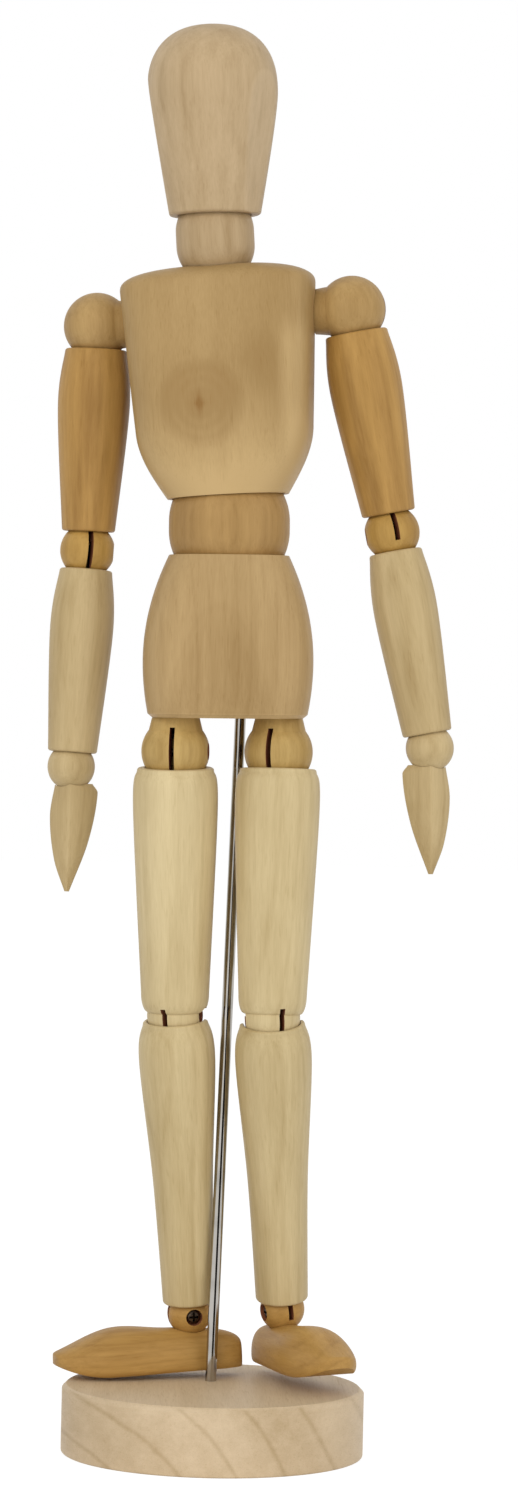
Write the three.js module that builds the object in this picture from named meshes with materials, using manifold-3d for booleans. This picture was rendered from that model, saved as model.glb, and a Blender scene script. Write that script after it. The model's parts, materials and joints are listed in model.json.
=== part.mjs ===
// Jointed wooden artist mannequin on a round base, held up by a steel rod.
// Millimetres, +Z up. The origin is the centre of the base's underside and the figure faces -Y.
// Left and right are the figure's own: its left side is +X.
// Turned limbs sit on slotted balls; tension springs hook the pivot screws and pull all together.

import * as THREE from 'three';
import { mergeVertices } from 'three/addons/utils/BufferGeometryUtils.js';
import Module from 'manifold-3d';

const wasm = await Module();
wasm.setup();

// Fits
const gap = 0.3; // between neighbouring pieces
const overshoot = 1; // how far a cutter runs past the face it opens
const mergeDistance = 1e-4; // corners closer than this are one

// Base and rod
const baseRadius = 32.3;
const baseThickness = 14.5;
const baseTopChamfer = 1;
const baseFootChamfer = 0.5;
const rodRadius = 1.2;
const rodTip = 0.4; // chamfer of its ends
const rodSocketDepth = 11; // into the base
const rodHoldDepth = 20; // into the pelvis
const rodX = -0.4; // where the rod leaves the top of the base
const rodY = 6;
const rodLean = 1.3; // degrees, top towards the figure's left

// Pelvis, measured from the middle of the hip line
const hipHalfSpan = 11;
const pelvisBottom = 7.2;
const pelvisWidest = 19.2; // height of the widest section
const pelvisTop = 41.8;
const pelvisTopHalfWidth = 12.8;
const pelvisFullHalfWidth = 18.2;
const pelvisBottomHalfWidth = 16.9;
const pelvisTopHalfDepth = 12.6;
const pelvisFullHalfDepth = 13.4;
const pelvisBottomHalfDepth = 12.2;
const pelvisBevel = 0.8;
const pelvisSquareness = 2.7; // exponent of the rounded outline

// Waist ball: two spherical zones with a short straight between them
const waistRadius = 12.9;
const waistStraight = 2;
const waistHeight = 48.1; // middle of the ball above the hip line
const waistFlat = 7.4; // from a zone's centre to its end face

// Chest, measured from the centre of the waist's upper zone
const chestBottom = 5.3;
const chestRib = 20; // where the lower curve ends
const chestDeepest = 25;
const chestCorner = 49.9; // height of the shoulder corners
const chestTop = 54.6;
const chestBottomHalfWidth = 12.9;
const chestRibHalfWidth = 18.7;
const chestTopHalfWidth = 20.8;
const chestBottomHalfDepth = 12.6;
const chestRibHalfDepth = 13.8;
const chestTopHalfDepth = 11;
const chestSquareness = 3; // exponent of the outline from the ribs up
const chestBottomSquareness = 2.2;
const chestCrownSquareness = 2.6; // exponent of the cushioned top

// Neck ball, made like the waist ball
const neckRadius = 8.35;
const neckStraight = 3;
const neckHeight = 60.3; // middle of the ball above the centre of the waist's upper zone
const neckFlat = 5.6; // from a zone's centre to its end face

// Head, measured from the centre of the neck's upper zone
const headBottom = 3.4;
const headWidest = 29.5;
const headTop = 44;
const headJawRadius = 10;
const headFullRadius = 13.95;
const headJawBulge = 25.5; // height that the jaw line aims at
const headCrownSquareness = 2.4;
const headEdgeRound = 0.8;
const cheekDistance = 9.05; // from the head's pivot to each sanded cheek plane
const cheekTilt = 8; // degrees, leaning in towards the chin
const cheekAngle = 75; // degrees from the way the face looks

// Shoulders, measured in the chest
const shoulderHalfSpan = 27.8;
const shoulderHeight = 43.8;
const shoulderBack = 5.6; // behind the middle of the chest
const shoulderRadius = 7.2;
const shoulderNeckRadius = 5;
const shoulderNeckAngle = 42; // degrees, where the ball runs into its neck
const shoulderSeat = 0.9; // depth of the recess for the shoulder's neck

// Arms
const upperArmLength = 48.3; // shoulder centre to elbow centre
const upperArmRim = 5; // shoulder centre to the top of the wood
const upperArmTopRadius = 6.7;
const upperArmFullRadius = 7.75;
const upperArmFull = 17.5; // where it is fullest
const upperArmEndRadius = 5.75;
const elbowRadius = 5.9;
const elbowRim = 4.1; // elbow centre to the wood above and below
const forearmLength = 46.7;
const forearmTopRadius = 5.7;
const forearmFullRadius = 7.05;
const forearmFull = 17;
const forearmEndRadius = 5.3;
const wristRadius = 5.4;
const wristRim = 3.1;
const handLength = 26.9;
const handTop = 3.6; // wrist centre to the top of the hand
const handPalm = 5.5; // where the thumb side is fullest
const handFingers = 16; // where the fingers start to taper
const handThumbTopHalfWidth = 4.7;
const handThumbHalfWidth = 5.9;
const handThumbEndHalfWidth = 4.25; // at the fingers
const handOuterTopHalfWidth = 3.3;
const handOuterHalfWidth = 4.2;
const handOuterFull = 10.8; // where the outer side is fullest
const handOuterEnd = 20.2;
const handOuterEndHalfWidth = 2.95;
const handHalfThickness = 3.6;
const handFingerHalfThickness = 2.9;
const handTipHalfWidth = 0.5;
const handRidge = 1.5; // exponent of the section: under 2 it has a soft ridge

// Legs
const hipRadius = 7.3;
const hipNeckRadius = 5.1;
const hipNeckAngle = 38;
const thighLength = 56.7; // hip centre to knee centre
const thighRim = 3.5;
const thighTopRadius = 8.3;
const thighFullRadius = 9.15;
const thighFull = 12;
const thighEndRadius = 7.3;
const thighEnd = 4.2; // knee centre up to where the thigh rounds in
const kneeRadius = 6;
const kneeWaistAngle = 8; // degrees above the knee's axis where the ball meets the thigh
const kneeRim = 1.1;
const kneeReliefAngle = 32; // degrees, slope of the cuts behind the knee
const kneeReliefBack = 2; // from the knee's axis to where the cuts start
const kneeReliefSize = 33; // of the block that cuts them
const shinLength = 65.9;
const shinTopRadius = 7;
const shinFullRadius = 8.2;
const shinFull = 9.5;
const shinEndRadius = 5.65;
const shinHollow = 0.45; // how much the calf's taper draws in below a straight line
const ankleRadius = 4.8;
const ankleRim = 2.5;
const ankleHeight = 12; // above the sole
const heelLength = 11.3; // ankle to the end of the heel
const toeLength = 30.2;
const heelHalfWidth = 5.4;
const footBallHalfWidth = 7.5;
const toeHalfWidth = 6.75;
const footBall = 18; // ankle to the widest part
const instep = 5.4; // ankle to where the top starts to rise
const heelTop = 8.8; // heights of the foot above its sole
const instepTop = 9;
const footBallTop = 9.7;
const toeTop = 5.8;
const toeSpring = 2.6; // rise of the sole at the toe
const toeSpringStart = 19; // ankle to where the sole starts to rise
const soleRise = 1.5; // height of the widest line above the sole
const soleSlope = 2; // how steeply the sides turn in to the flat sole
const footEndRoundness = 3; // exponent of the outline seen from above
const footSquareness = 2.4; // exponent of the section
const footEndHeight = 0.35; // share of the height left at heel and toe ends
const footEndReach = 0.97; // the end rings stop short of a point
const limbEdgeRound = 0.6;

// Hip line above the table: straight legs stand with their soles just clear of the base.
const soleClearance = 0.9;
const hipLineHeight = baseThickness + soleClearance + ankleHeight + shinLength + thighLength;

// Springs, screws and pins
const wireRadius = 0.3;
const coilRadius = 1.8; // at the middle of the wire
const coilPitch = 11;
const fewestCoils = 2;
const coilLead = 1.5; // along the spring, from a straight leg out to the coil
const eyeTurn = 250; // degrees of wire round a screw
const eyeOffset = 0.5; // each of two eyes side by side on one screw
const springBore = 2.6;
const anchorReach = 17; // ball centre to an anchor pin in head, chest or pelvis
const neckAnchorReach = 12.1; // neck centre down to its pin in the chest
const slotWidth = 1.2;
const hipSlotPast = 5.1; // how far a slot runs past its screw
const slotPast = 2;
const shankRadius = 0.6;
const screwHeadRadius = 1.5;
const screwHeadHeight = 1.1;
const screwSink = 0.7; // head below the ball's skin
const screwCover = 1; // wood left over the screw's tip
const swivelHeadRadius = 1.7;
const swivelHeadHeight = 1.2;
const swivelShankRadius = 0.8;
const swivelReach = 9; // into the pelvis
const swivelSeat = 2.7; // hip centre to the underside of the head
const pinReach = 4; // of an anchor pin past its bore
const pinSink = 1; // of an anchor pin below the wood at the back
const anchorLeg = 3; // straight leg of a spring at an anchor pin

// Resting pose, degrees
const pelvisLean = -0.7;
const chestTurn = -12;
const chestLean = -3.5;
const headTurn = -8;
const headLean = 2;
const pose = {
  right: {
    shoulderSwivel: 0, shoulderLift: 5.5, elbowTurn: 12, elbowLean: 1.8, elbowBend: -2.5, wristBend: -2.2,
    hipTurn: -8, hipSwing: 3.5, kneeTurn: -7, kneeLean: -1.6, kneeBend: 5.25,
    ankleTurn: -62.4, ankleBend: -3.1, footLean: -7,
  },
  left: {
    shoulderSwivel: 2.8, shoulderLift: -7, elbowTurn: 12, elbowLean: 0.4, elbowBend: -2.5, wristBend: 9.6,
    hipTurn: -20, hipSwing: -2.7, kneeTurn: 22, kneeLean: -4.5, kneeBend: 15.4,
    ankleTurn: 20, ankleBend: -12.3, footLean: 6.7,
  },
};

// Facets
const limbFacets = 14;
const limbStepsPerPoint = 2;
const blockFacets = 18; // round the trunk and head
const ballFacets = 12;
const ballRings = 7;
const boreFacets = 8;
const baseFacets = 36;
const handFacets = 10;
const handSteps = 7;
const footSteps = 10;
const chestSteps = 7;
const chestStepGrowth = 1.4; // steps lie closer together at the waist
const chestCrownSteps = 4;
const pelvisSteps = 5;
const arcSteps = 6;
const zoneSteps = 3; // on half of a ball's zone
const jawSteps = 5;
const crownSteps = 6;
const wireFacets = 4;
const stepsPerCoil = 6;
const eyeSteps = 5;

// Finishes
const limbWood = { color: 0xd9bd8c, roughness: 0.6, metalness: 0 };
const ballWood = { color: 0xc79d62, roughness: 0.6, metalness: 0 };
const bodyWood = { color: 0xd2b48a, roughness: 0.6, metalness: 0 };
const baseWood = { color: 0xd6bd9d, roughness: 0.7, metalness: 0 };
const steel = { color: 0xa5a29c, roughness: 0.25, metalness: 1 };

const degrees = THREE.MathUtils.degToRad;
const vec2 = (x, y) => new THREE.Vector2(x, y);
const vec3 = (x, y, z) => new THREE.Vector3(x, y, z);

// Closed solids, cutting and joining

function signedVolume(position, triangles) {
  const [a, b, c] = [vec3(), vec3(), vec3()];
  let sum = 0;
  for (let i = 0; i < triangles.length; i += 3) {
    a.fromArray(position, 3 * triangles[i]);
    b.fromArray(position, 3 * triangles[i + 1]);
    c.fromArray(position, 3 * triangles[i + 2]);
    sum += a.dot(b.cross(c)) / 6;
  }
  return sum;
}

function toSolid(geometry) {
  const bare = geometry.clone();
  bare.deleteAttribute('normal');
  bare.deleteAttribute('uv');
  const merged = mergeVertices(bare, mergeDistance);
  const position = merged.getAttribute('position').array;
  const corners = merged.index.array;
  const triangles = [];
  for (let i = 0; i < corners.length; i += 3) {
    const [a, b, c] = corners.slice(i, i + 3);
    if (a !== b && b !== c && c !== a) triangles.push(a, b, c);
  }
  if (signedVolume(position, triangles) < 0) triangles.reverse();
  const vertProperties = new Float32Array(position);
  const triVerts = new Uint32Array(triangles);
  return new wasm.Manifold(new wasm.Mesh({ numProp: 3, vertProperties, triVerts }));
}

function toGeometry(solid) {
  const mesh = solid.getMesh();
  const geometry = new THREE.BufferGeometry();
  geometry.setAttribute('position', new THREE.BufferAttribute(mesh.vertProperties, 3));
  geometry.setIndex(new THREE.BufferAttribute(mesh.triVerts, 1));
  geometry.computeVertexNormals();
  return geometry;
}

function cut(body, ...tools) {
  let solid = toSolid(body);
  for (const tool of tools) solid = solid.subtract(toSolid(tool));
  return toGeometry(solid);
}

// Basic forms, all about +Z

// A profile of [radius, height] points turned about Z.
function turned(profile, facets) {
  const points = profile.map(([radius, height]) => vec2(radius, height));
  return new THREE.LatheGeometry(points, facets).rotateX(Math.PI / 2);
}

function sphere(radius) {
  return new THREE.SphereGeometry(radius, ballFacets, ballRings).rotateX(Math.PI / 2);
}

// The hollow for a ball, clear of it at any angle though both are faceted.
function socket(radius) {
  return sphere((radius + gap) / Math.cos(Math.PI / ballFacets));
}

function bore(radius, bottom, top, facets = boreFacets) {
  const cylinder = new THREE.CylinderGeometry(radius, radius, top - bottom, facets).rotateX(Math.PI / 2);
  return cylinder.translate(0, 0, (top + bottom) / 2);
}

// Points on a circle about [radius, height], from one angle to another, for a profile.
function arc(radius, height, size, from, to, steps) {
  const points = [];
  for (let i = 0; i <= steps; i++) {
    const angle = degrees(from + (to - from) * i / steps);
    points.push([radius + size * Math.cos(angle), height + size * Math.sin(angle)]);
  }
  return points;
}

// Smooth curve through [x, y] points, sampled.
function spline(points, steps) {
  const curve = new THREE.SplineCurve(points.map(([x, y]) => vec2(x, y)));
  return curve.getPoints(steps).map((point) => [point.x, point.y]);
}

// Smooth value at x on a curve through [x, value] points.
function valueAt(points, x) {
  const last = points.length - 1;
  let i = 0;
  while (i < last - 1 && x > points[i + 1][0]) i++;
  const [before, start, end, after] = [points[Math.max(i - 1, 0)], points[i], points[i + 1],
    points[Math.min(i + 2, last)]];
  const span = end[0] - start[0];
  const t = (x - start[0]) / span;
  const rise = (end[1] - before[1]) / (end[0] - before[0]) * span;
  const fall = (after[1] - start[1]) / (after[0] - start[0]) * span;
  const bend = t * t * (3 - 2 * t);
  return start[1] + (end[1] - start[1]) * bend + rise * t * (1 - t) ** 2 - fall * t * t * (1 - t);
}

// A skin over rings of equal count, closed by a fan at each end.
function loft(rings) {
  const count = rings[0].length;
  const points = rings.flat();
  const index = [];
  for (let i = 0; i + 1 < rings.length; i++) {
    for (let j = 0; j < count; j++) {
      const next = (j + 1) % count;
      const [a, b] = [i * count + j, i * count + next];
      index.push(a, b, b + count, a, b + count, a + count);
    }
  }
  for (const [ring, start] of [[rings[0], 0], [rings.at(-1), (rings.length - 1) * count]]) {
    const centre = points.length;
    points.push(ring.reduce((sum, point) => sum.add(point), vec3()).divideScalar(count));
    for (let j = 0; j < count; j++) {
      const next = (j + 1) % count;
      index.push(centre, ...(start ? [start + j, start + next] : [next, j]));
    }
  }
  const geometry = new THREE.BufferGeometry().setFromPoints(points);
  return geometry.setIndex(index);
}

// A rounded rectangle as a superellipse; the exponent sets how square it is.
function roundedOutline(halfWidth, halfDepth, exponent, count) {
  const points = [];
  for (let j = 0; j < count; j++) {
    const angle = 2 * Math.PI * (j + 0.5) / count;
    const [c, s] = [Math.cos(angle), Math.sin(angle)];
    const x = halfWidth * Math.sign(c) * Math.abs(c) ** (2 / exponent);
    const y = halfDepth * Math.sign(s) * Math.abs(s) ** (2 / exponent);
    points.push(vec2(x, y));
  }
  return points;
}

const skewDirection = vec3(0.3, 0.5, 0.8); // no wire starts along it

// A wire through points, its section carried along without twisting.
function wire(points) {
  const rings = [];
  const tangents = points.map((point, i) => {
    const before = points[Math.max(i - 1, 0)];
    const after = points[Math.min(i + 1, points.length - 1)];
    return after.clone().sub(before).normalize();
  });
  const side = skewDirection.clone().cross(tangents[0]).normalize();
  for (const [i, point] of points.entries()) {
    const bend = new THREE.Quaternion().setFromUnitVectors(tangents[Math.max(i - 1, 0)], tangents[i]);
    side.applyQuaternion(bend);
    const other = tangents[i].clone().cross(side);
    const ring = [];
    for (let j = 0; j < wireFacets; j++) {
      const angle = 2 * Math.PI * j / wireFacets;
      const spoke = side.clone().multiplyScalar(wireRadius * Math.cos(angle));
      ring.push(spoke.addScaledVector(other, wireRadius * Math.sin(angle)).add(point));
    }
    rings.push(ring);
  }
  return loft(rings);
}

// A tension spring between two hooks: an eye round each pin, straight legs and a coil.
// A hook is { at, axis, offset, leg }: the pin's middle and direction, the eye's place along
// it, and the length of straight leg inside the ball.
function spring(start, end) {
  const eyeRadius = shankRadius + gap + wireRadius;
  const along = end.at.clone().sub(start.at);
  const length = along.length();
  along.normalize();
  const sideOf = (hook) => hook.axis.clone().cross(along).normalize();
  const eye = (hook, way) => {
    const side = sideOf(hook);
    const points = [];
    for (let i = 0; i <= eyeSteps; i++) {
      const angle = degrees(eyeTurn * (1 - i / eyeSteps));
      const point = hook.at.clone().addScaledVector(hook.axis, hook.offset);
      point.addScaledVector(side, eyeRadius * Math.cos(angle));
      points.push(point.addScaledVector(along, -way * eyeRadius * Math.sin(angle)));
    }
    return points;
  };
  const legEnd = (hook, way) => hook.at.clone().addScaledVector(hook.axis, hook.offset)
    .addScaledVector(sideOf(hook), eyeRadius).addScaledVector(along, way * hook.leg);
  const coilLength = length - start.leg - end.leg - 2 * coilLead;
  const startSide = sideOf(start);
  const across = along.clone().cross(startSide);
  const endSide = sideOf(end);
  const lead = Math.atan2(endSide.dot(across), endSide.dot(startSide));
  const turns = Math.max(fewestCoils, Math.round(coilLength / coilPitch));
  const steps = turns * stepsPerCoil;
  const coil = [];
  for (let i = 0; i <= steps; i++) {
    const angle = (2 * Math.PI * turns + lead) * i / steps;
    const point = start.at.clone().addScaledVector(along, start.leg + coilLead + coilLength * i / steps);
    point.addScaledVector(startSide, coilRadius * Math.cos(angle));
    coil.push(point.addScaledVector(across, coilRadius * Math.sin(angle)));
  }
  return wire([...eye(start, 1), legEnd(start, 1), ...coil, legEnd(end, -1), ...eye(end, -1).reverse()]);
}

// Screws and pins; a pivot screw lies along +X with its head at +X.

const seatOf = (radius) => radius - screwSink - screwHeadHeight;

function pivotScrew(radius) {
  const tip = screwCover - radius;
  const seat = seatOf(radius);
  const profile = [
    [0, tip], [shankRadius, tip], [shankRadius, seat],
    [screwHeadRadius, seat], [screwHeadRadius, seat + screwHeadHeight], [0, seat + screwHeadHeight],
  ];
  return turned(profile, boreFacets).rotateY(Math.PI / 2);
}

// The stepped hole for a pivot screw, with its counterbore open at +X.
function pivotHole(radius) {
  const tip = screwCover - radius - gap;
  const floor = seatOf(radius) - gap;
  const profile = [
    [0, tip], [shankRadius + gap, tip], [shankRadius + gap, floor],
    [screwHeadRadius + gap, floor], [screwHeadRadius + gap, radius + overshoot], [0, radius + overshoot],
  ];
  return turned(profile, boreFacets).rotateY(Math.PI / 2);
}

// A saw slot square to X, open at -Z and running past the screw at the origin.
function sawSlot(radius, past, offset = 0) {
  const height = past + radius + overshoot;
  const slot = new THREE.BoxGeometry(slotWidth, 2 * (radius + overshoot), height);
  return slot.translate(offset, 0, past - height / 2);
}

function swivelScrew() {
  const head = swivelSeat + swivelHeadHeight;
  const tip = pelvisBottom + swivelReach;
  return turned([
    [0, swivelSeat], [swivelHeadRadius, swivelSeat], [swivelHeadRadius, head],
    [swivelShankRadius, head], [swivelShankRadius, tip - 2 * swivelShankRadius], [0, tip],
  ], boreFacets);
}

// An anchor pin across a spring bore, put in from the back, and its hole.
function anchorPin(back) {
  return bore(shankRadius, -springBore - pinReach, back - gap).rotateX(-Math.PI / 2);
}

function anchorHole(back) {
  return bore(shankRadius + gap, -springBore - pinReach - gap, back + overshoot).rotateX(-Math.PI / 2);
}

// Turned limb wood, hanging along -Z from its upper joint

function limbProfile(points, edge) {
  const [topHeight, topRadius] = points[0];
  const [endHeight, endRadius] = points.at(-1);
  const inner = [[topHeight + edge, topRadius], ...points.slice(1, -1), [endHeight - edge, endRadius]];
  const skin = spline(inner, limbStepsPerPoint * points.length).map(([depth, radius]) => [radius, -depth]);
  return [[0, -topHeight], [topRadius - edge, -topHeight], ...skin,
    [endRadius - edge, -endHeight], [0, -endHeight]];
}

function upperArm() {
  const end = upperArmLength - elbowRim;
  const points = [[upperArmRim, upperArmTopRadius], [upperArmFull, upperArmFullRadius],
    [end, upperArmEndRadius]];
  return cut(
    turned(limbProfile(points, limbEdgeRound), limbFacets),
    socket(shoulderRadius),
    socket(elbowRadius).translate(0, 0, -upperArmLength),
    bore(springBore, -upperArmLength, 0),
  );
}

function forearm() {
  const end = forearmLength - wristRim;
  const points = [[elbowRim, forearmTopRadius], [forearmFull, forearmFullRadius], [end, forearmEndRadius]];
  return cut(
    turned(limbProfile(points, limbEdgeRound), limbFacets),
    socket(elbowRadius),
    socket(wristRadius).translate(0, 0, -forearmLength),
    bore(springBore, -forearmLength, 0),
  );
}

// A wedge that clears the back of the knee: below the knee's axis for the shin, above it for the thigh.
function kneeRelief(start, way) {
  const size = kneeReliefSize;
  const block = new THREE.BoxGeometry(size, size, size).translate(0, size / 2, way * size / 2);
  return block.rotateX(-way * degrees(kneeReliefAngle)).translate(0, kneeReliefBack, start);
}

// The knee ball is turned in one with the thigh.
function thigh(side, knee) {
  const points = [[thighRim, thighTopRadius], [thighFull, thighFullRadius],
    [thighLength - thighEnd, thighEndRadius]];
  const upper = limbProfile(points, limbEdgeRound).slice(0, -2);
  const ball = arc(0, -thighLength, kneeRadius, kneeWaistAngle, -90, arcSteps);
  const hinge = new THREE.Matrix4().makeRotationFromEuler(knee).setPosition(0, 0, -thighLength);
  const wood = cut(turned([...upper, ...ball.slice(0, -1), [0, -thighLength - kneeRadius]], limbFacets),
    socket(hipRadius),
    bore(springBore, -thighLength - slotPast, 0),
    sawSlot(kneeRadius, slotPast, eyeOffset).applyMatrix4(hinge),
    medial(pivotHole(kneeRadius), side).applyMatrix4(hinge));
  return cut(wood, kneeRelief(kneeRim, 1).applyMatrix4(hinge));
}

function shin() {
  const end = shinLength - ankleRim;
  const middle = [(shinFull + end) / 2, (shinFullRadius + shinEndRadius) / 2 - shinHollow];
  const points = [[kneeRim, shinTopRadius], [shinFull, shinFullRadius], middle, [end, shinEndRadius]];
  return cut(
    turned(limbProfile(points, limbEdgeRound), limbFacets),
    socket(kneeRadius),
    socket(ankleRadius).translate(0, 0, -shinLength),
    bore(springBore, -shinLength, 0),
    kneeRelief(-kneeRim, -1),
  );
}

// Joint balls

// Turns something made with its head at +X so that the head faces the body's middle.
function medial(geometry, side) {
  return side > 0 ? geometry.rotateZ(Math.PI) : geometry;
}

// Turns something made along X so that its head is at the back.
function backward(geometry) {
  return geometry.rotateZ(Math.PI / 2);
}

// Ball with a short neck that seats in the chest; its bore faces the chest.
function shoulderBall(side) {
  const neckEnd = shoulderHalfSpan - chestSideAt(shoulderHeight) + shoulderSeat - gap;
  const skin = arc(0, 0, shoulderRadius, -90, shoulderNeckAngle, arcSteps);
  const form = turned([...skin, [shoulderNeckRadius, neckEnd], [0, neckEnd]], ballFacets);
  const pocket = bore(springBore, -slotPast, neckEnd + overshoot);
  return cut(
    form.rotateY(-side * Math.PI / 2),
    pocket.rotateY(-side * Math.PI / 2),
    backward(sawSlot(shoulderRadius, slotPast, eyeOffset)),
    backward(pivotHole(shoulderRadius)),
  );
}

// Slot up for the upper arm's spring, bore down for the forearm's.
function elbowBall(side) {
  return cut(
    sphere(elbowRadius),
    sawSlot(elbowRadius, slotPast, -eyeOffset).rotateX(Math.PI),
    bore(springBore, -elbowRadius - overshoot, slotPast),
    medial(pivotHole(elbowRadius), side),
  );
}

function wristBall() {
  return cut(
    sphere(wristRadius),
    backward(sawSlot(wristRadius, slotPast)).rotateX(Math.PI),
    backward(pivotHole(wristRadius)),
  );
}

function hipBall(side) {
  const top = pelvisBottom - gap;
  const skin = arc(0, 0, hipRadius, -90, hipNeckAngle, arcSteps);
  const headRoom = swivelSeat + swivelHeadHeight + gap;
  return cut(
    turned([...skin, [hipNeckRadius, top], [0, top]], ballFacets),
    sawSlot(hipRadius, hipSlotPast),
    bore(swivelHeadRadius + gap, -hipRadius - overshoot, headRoom),
    bore(swivelShankRadius + gap, 0, top + overshoot),
    medial(pivotHole(hipRadius), side),
  );
}

function ankleBall(side) {
  return cut(
    sphere(ankleRadius),
    sawSlot(ankleRadius, slotPast).rotateX(Math.PI),
    medial(pivotHole(ankleRadius), side),
  );
}

// Hands and feet

// Leaf-shaped hand with a soft ridge, fuller on the thumb side, pointing down.
function hand(side) {
  const thumb = [[handTop, handThumbTopHalfWidth], [handPalm, handThumbHalfWidth],
    [handFingers, handThumbEndHalfWidth], [handLength, handTipHalfWidth]];
  const outer = [[handTop, handOuterTopHalfWidth], [handOuterFull, handOuterHalfWidth],
    [handOuterEnd, handOuterEndHalfWidth], [handLength, handTipHalfWidth]];
  const thick = [[handTop, handHalfThickness], [handFingers, handFingerHalfThickness],
    [handLength, handTipHalfWidth]];
  const rings = [];
  for (let i = 0; i <= handSteps; i++) {
    const depth = handTop + (handLength - handTop) * i / handSteps;
    const outline = roundedOutline(1, valueAt(thick, depth), handRidge, handFacets);
    rings.push(outline.map((point) => {
      const half = valueAt(point.x * side < 0 ? thumb : outer, depth);
      return vec3(point.x * half, point.y, -depth);
    }));
  }
  return cut(loft(rings), socket(wristRadius));
}

// Foot from heel to toe along -Y, with a flat sole that rises at the toe and a rounded top.
function foot() {
  const sole = -ankleHeight;
  const width = [[-toeLength, toeHalfWidth], [-footBall, footBallHalfWidth],
    [0, heelHalfWidth], [heelLength, heelHalfWidth]];
  const top = [[-toeLength, toeTop], [-footBall, footBallTop], [-instep, instepTop],
    [heelLength, heelTop]];
  const middle = (heelLength - toeLength) / 2;
  const half = (heelLength + toeLength) / 2;
  const rings = [];
  for (let i = 0; i <= footSteps; i++) {
    const along = Math.sin(Math.PI / 2 * (2 * i / footSteps - 1) * footEndReach);
    const y = middle + half * along;
    const close = (1 - Math.abs(along) ** footEndRoundness) ** (1 / footEndRoundness);
    const toe = Math.max(0, (-y - toeSpringStart) / (toeLength - toeSpringStart));
    const line = soleRise + toeSpring * toe ** 2;
    const rise = (valueAt(top, y) - line) * (footEndHeight + (1 - footEndHeight) * close);
    const outline = roundedOutline(valueAt(width, y) * close, 1, footSquareness, limbFacets);
    rings.push(outline.map((point) => {
      const z = point.y > 0 ? point.y * rise : Math.max(point.y * soleSlope, -1) * soleRise;
      return vec3(point.x, y, sole + line + z);
    }));
  }
  return cut(loft(rings), socket(ankleRadius));
}

// Trunk and head

// Half-width of the chest at a height: a quarter sine up to the ribs, then a straight taper.
function chestSideAt(height) {
  if (height < chestRib) {
    const t = (height - chestBottom) / (chestRib - chestBottom);
    return chestBottomHalfWidth + (chestRibHalfWidth - chestBottomHalfWidth) * Math.sin(Math.PI / 2 * t);
  }
  const t = (height - chestRib) / (chestCorner - chestRib);
  return chestRibHalfWidth + (chestTopHalfWidth - chestRibHalfWidth) * t;
}

function chestDepthAt(height) {
  const points = [[chestBottom, chestBottomHalfDepth], [chestDeepest, chestRibHalfDepth],
    [chestCorner, chestTopHalfDepth]];
  return valueAt(points, height);
}

const neckPinHeight = neckHeight - neckAnchorReach;

function chest() {
  const rings = [];
  const ring = (halfWidth, halfDepth, exponent, z) => {
    const outline = roundedOutline(halfWidth, halfDepth, exponent, blockFacets);
    rings.push(outline.map(({ x, y }) => vec3(x, y, z)));
  };
  for (let i = 0; i <= chestSteps; i++) {
    const z = chestBottom + (chestCorner - chestBottom) * (i / chestSteps) ** chestStepGrowth;
    const square = Math.min(1, (z - chestBottom) / (chestRib - chestBottom));
    const exponent = chestBottomSquareness + (chestSquareness - chestBottomSquareness) * square;
    ring(chestSideAt(z), chestDepthAt(z), exponent, z);
  }
  for (let i = 1; i <= chestCrownSteps; i++) {
    const shrink = Math.cos(Math.PI / 2 * i / (chestCrownSteps + 1));
    const rise = (1 - shrink ** chestCrownSquareness) ** (1 / chestCrownSquareness);
    const z = chestCorner + (chestTop - chestCorner) * rise;
    ring(chestTopHalfWidth * shrink, chestTopHalfDepth * shrink, chestSquareness, z);
  }
  const shoulderLine = (tool) => tool.translate(0, shoulderBack, shoulderHeight);
  const seatFloor = chestSideAt(shoulderHeight) - shoulderSeat;
  const seat = () => bore(shoulderNeckRadius + gap, seatFloor, seatFloor + shoulderRadius, ballFacets);
  return cut(loft(rings),
    socket(waistRadius),
    socket(neckRadius).translate(0, 0, neckHeight - neckStraight / 2),
    bore(springBore, 0, anchorReach + slotPast),
    bore(springBore, neckPinHeight - slotPast, neckHeight),
    anchorHole(chestDepthAt(anchorReach)).translate(0, 0, anchorReach),
    anchorHole(chestDepthAt(neckPinHeight)).translate(0, 0, neckPinHeight),
    shoulderLine(bore(springBore, -chestTopHalfWidth, chestTopHalfWidth).rotateY(Math.PI / 2)),
    shoulderLine(seat().rotateY(Math.PI / 2)),
    shoulderLine(seat().rotateY(-Math.PI / 2)));
}

// Half-size of the pelvis at a height: one parabola above the widest section, one below.
function pelvisAt(height, bottom, full, top) {
  const above = height > pelvisWidest;
  const t = (height - pelvisWidest) / ((above ? pelvisTop : pelvisBottom) - pelvisWidest);
  return full + ((above ? top : bottom) - full) * t * t;
}

const pelvisDepthAt = (height) =>
  pelvisAt(height, pelvisBottomHalfDepth, pelvisFullHalfDepth, pelvisTopHalfDepth);

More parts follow.
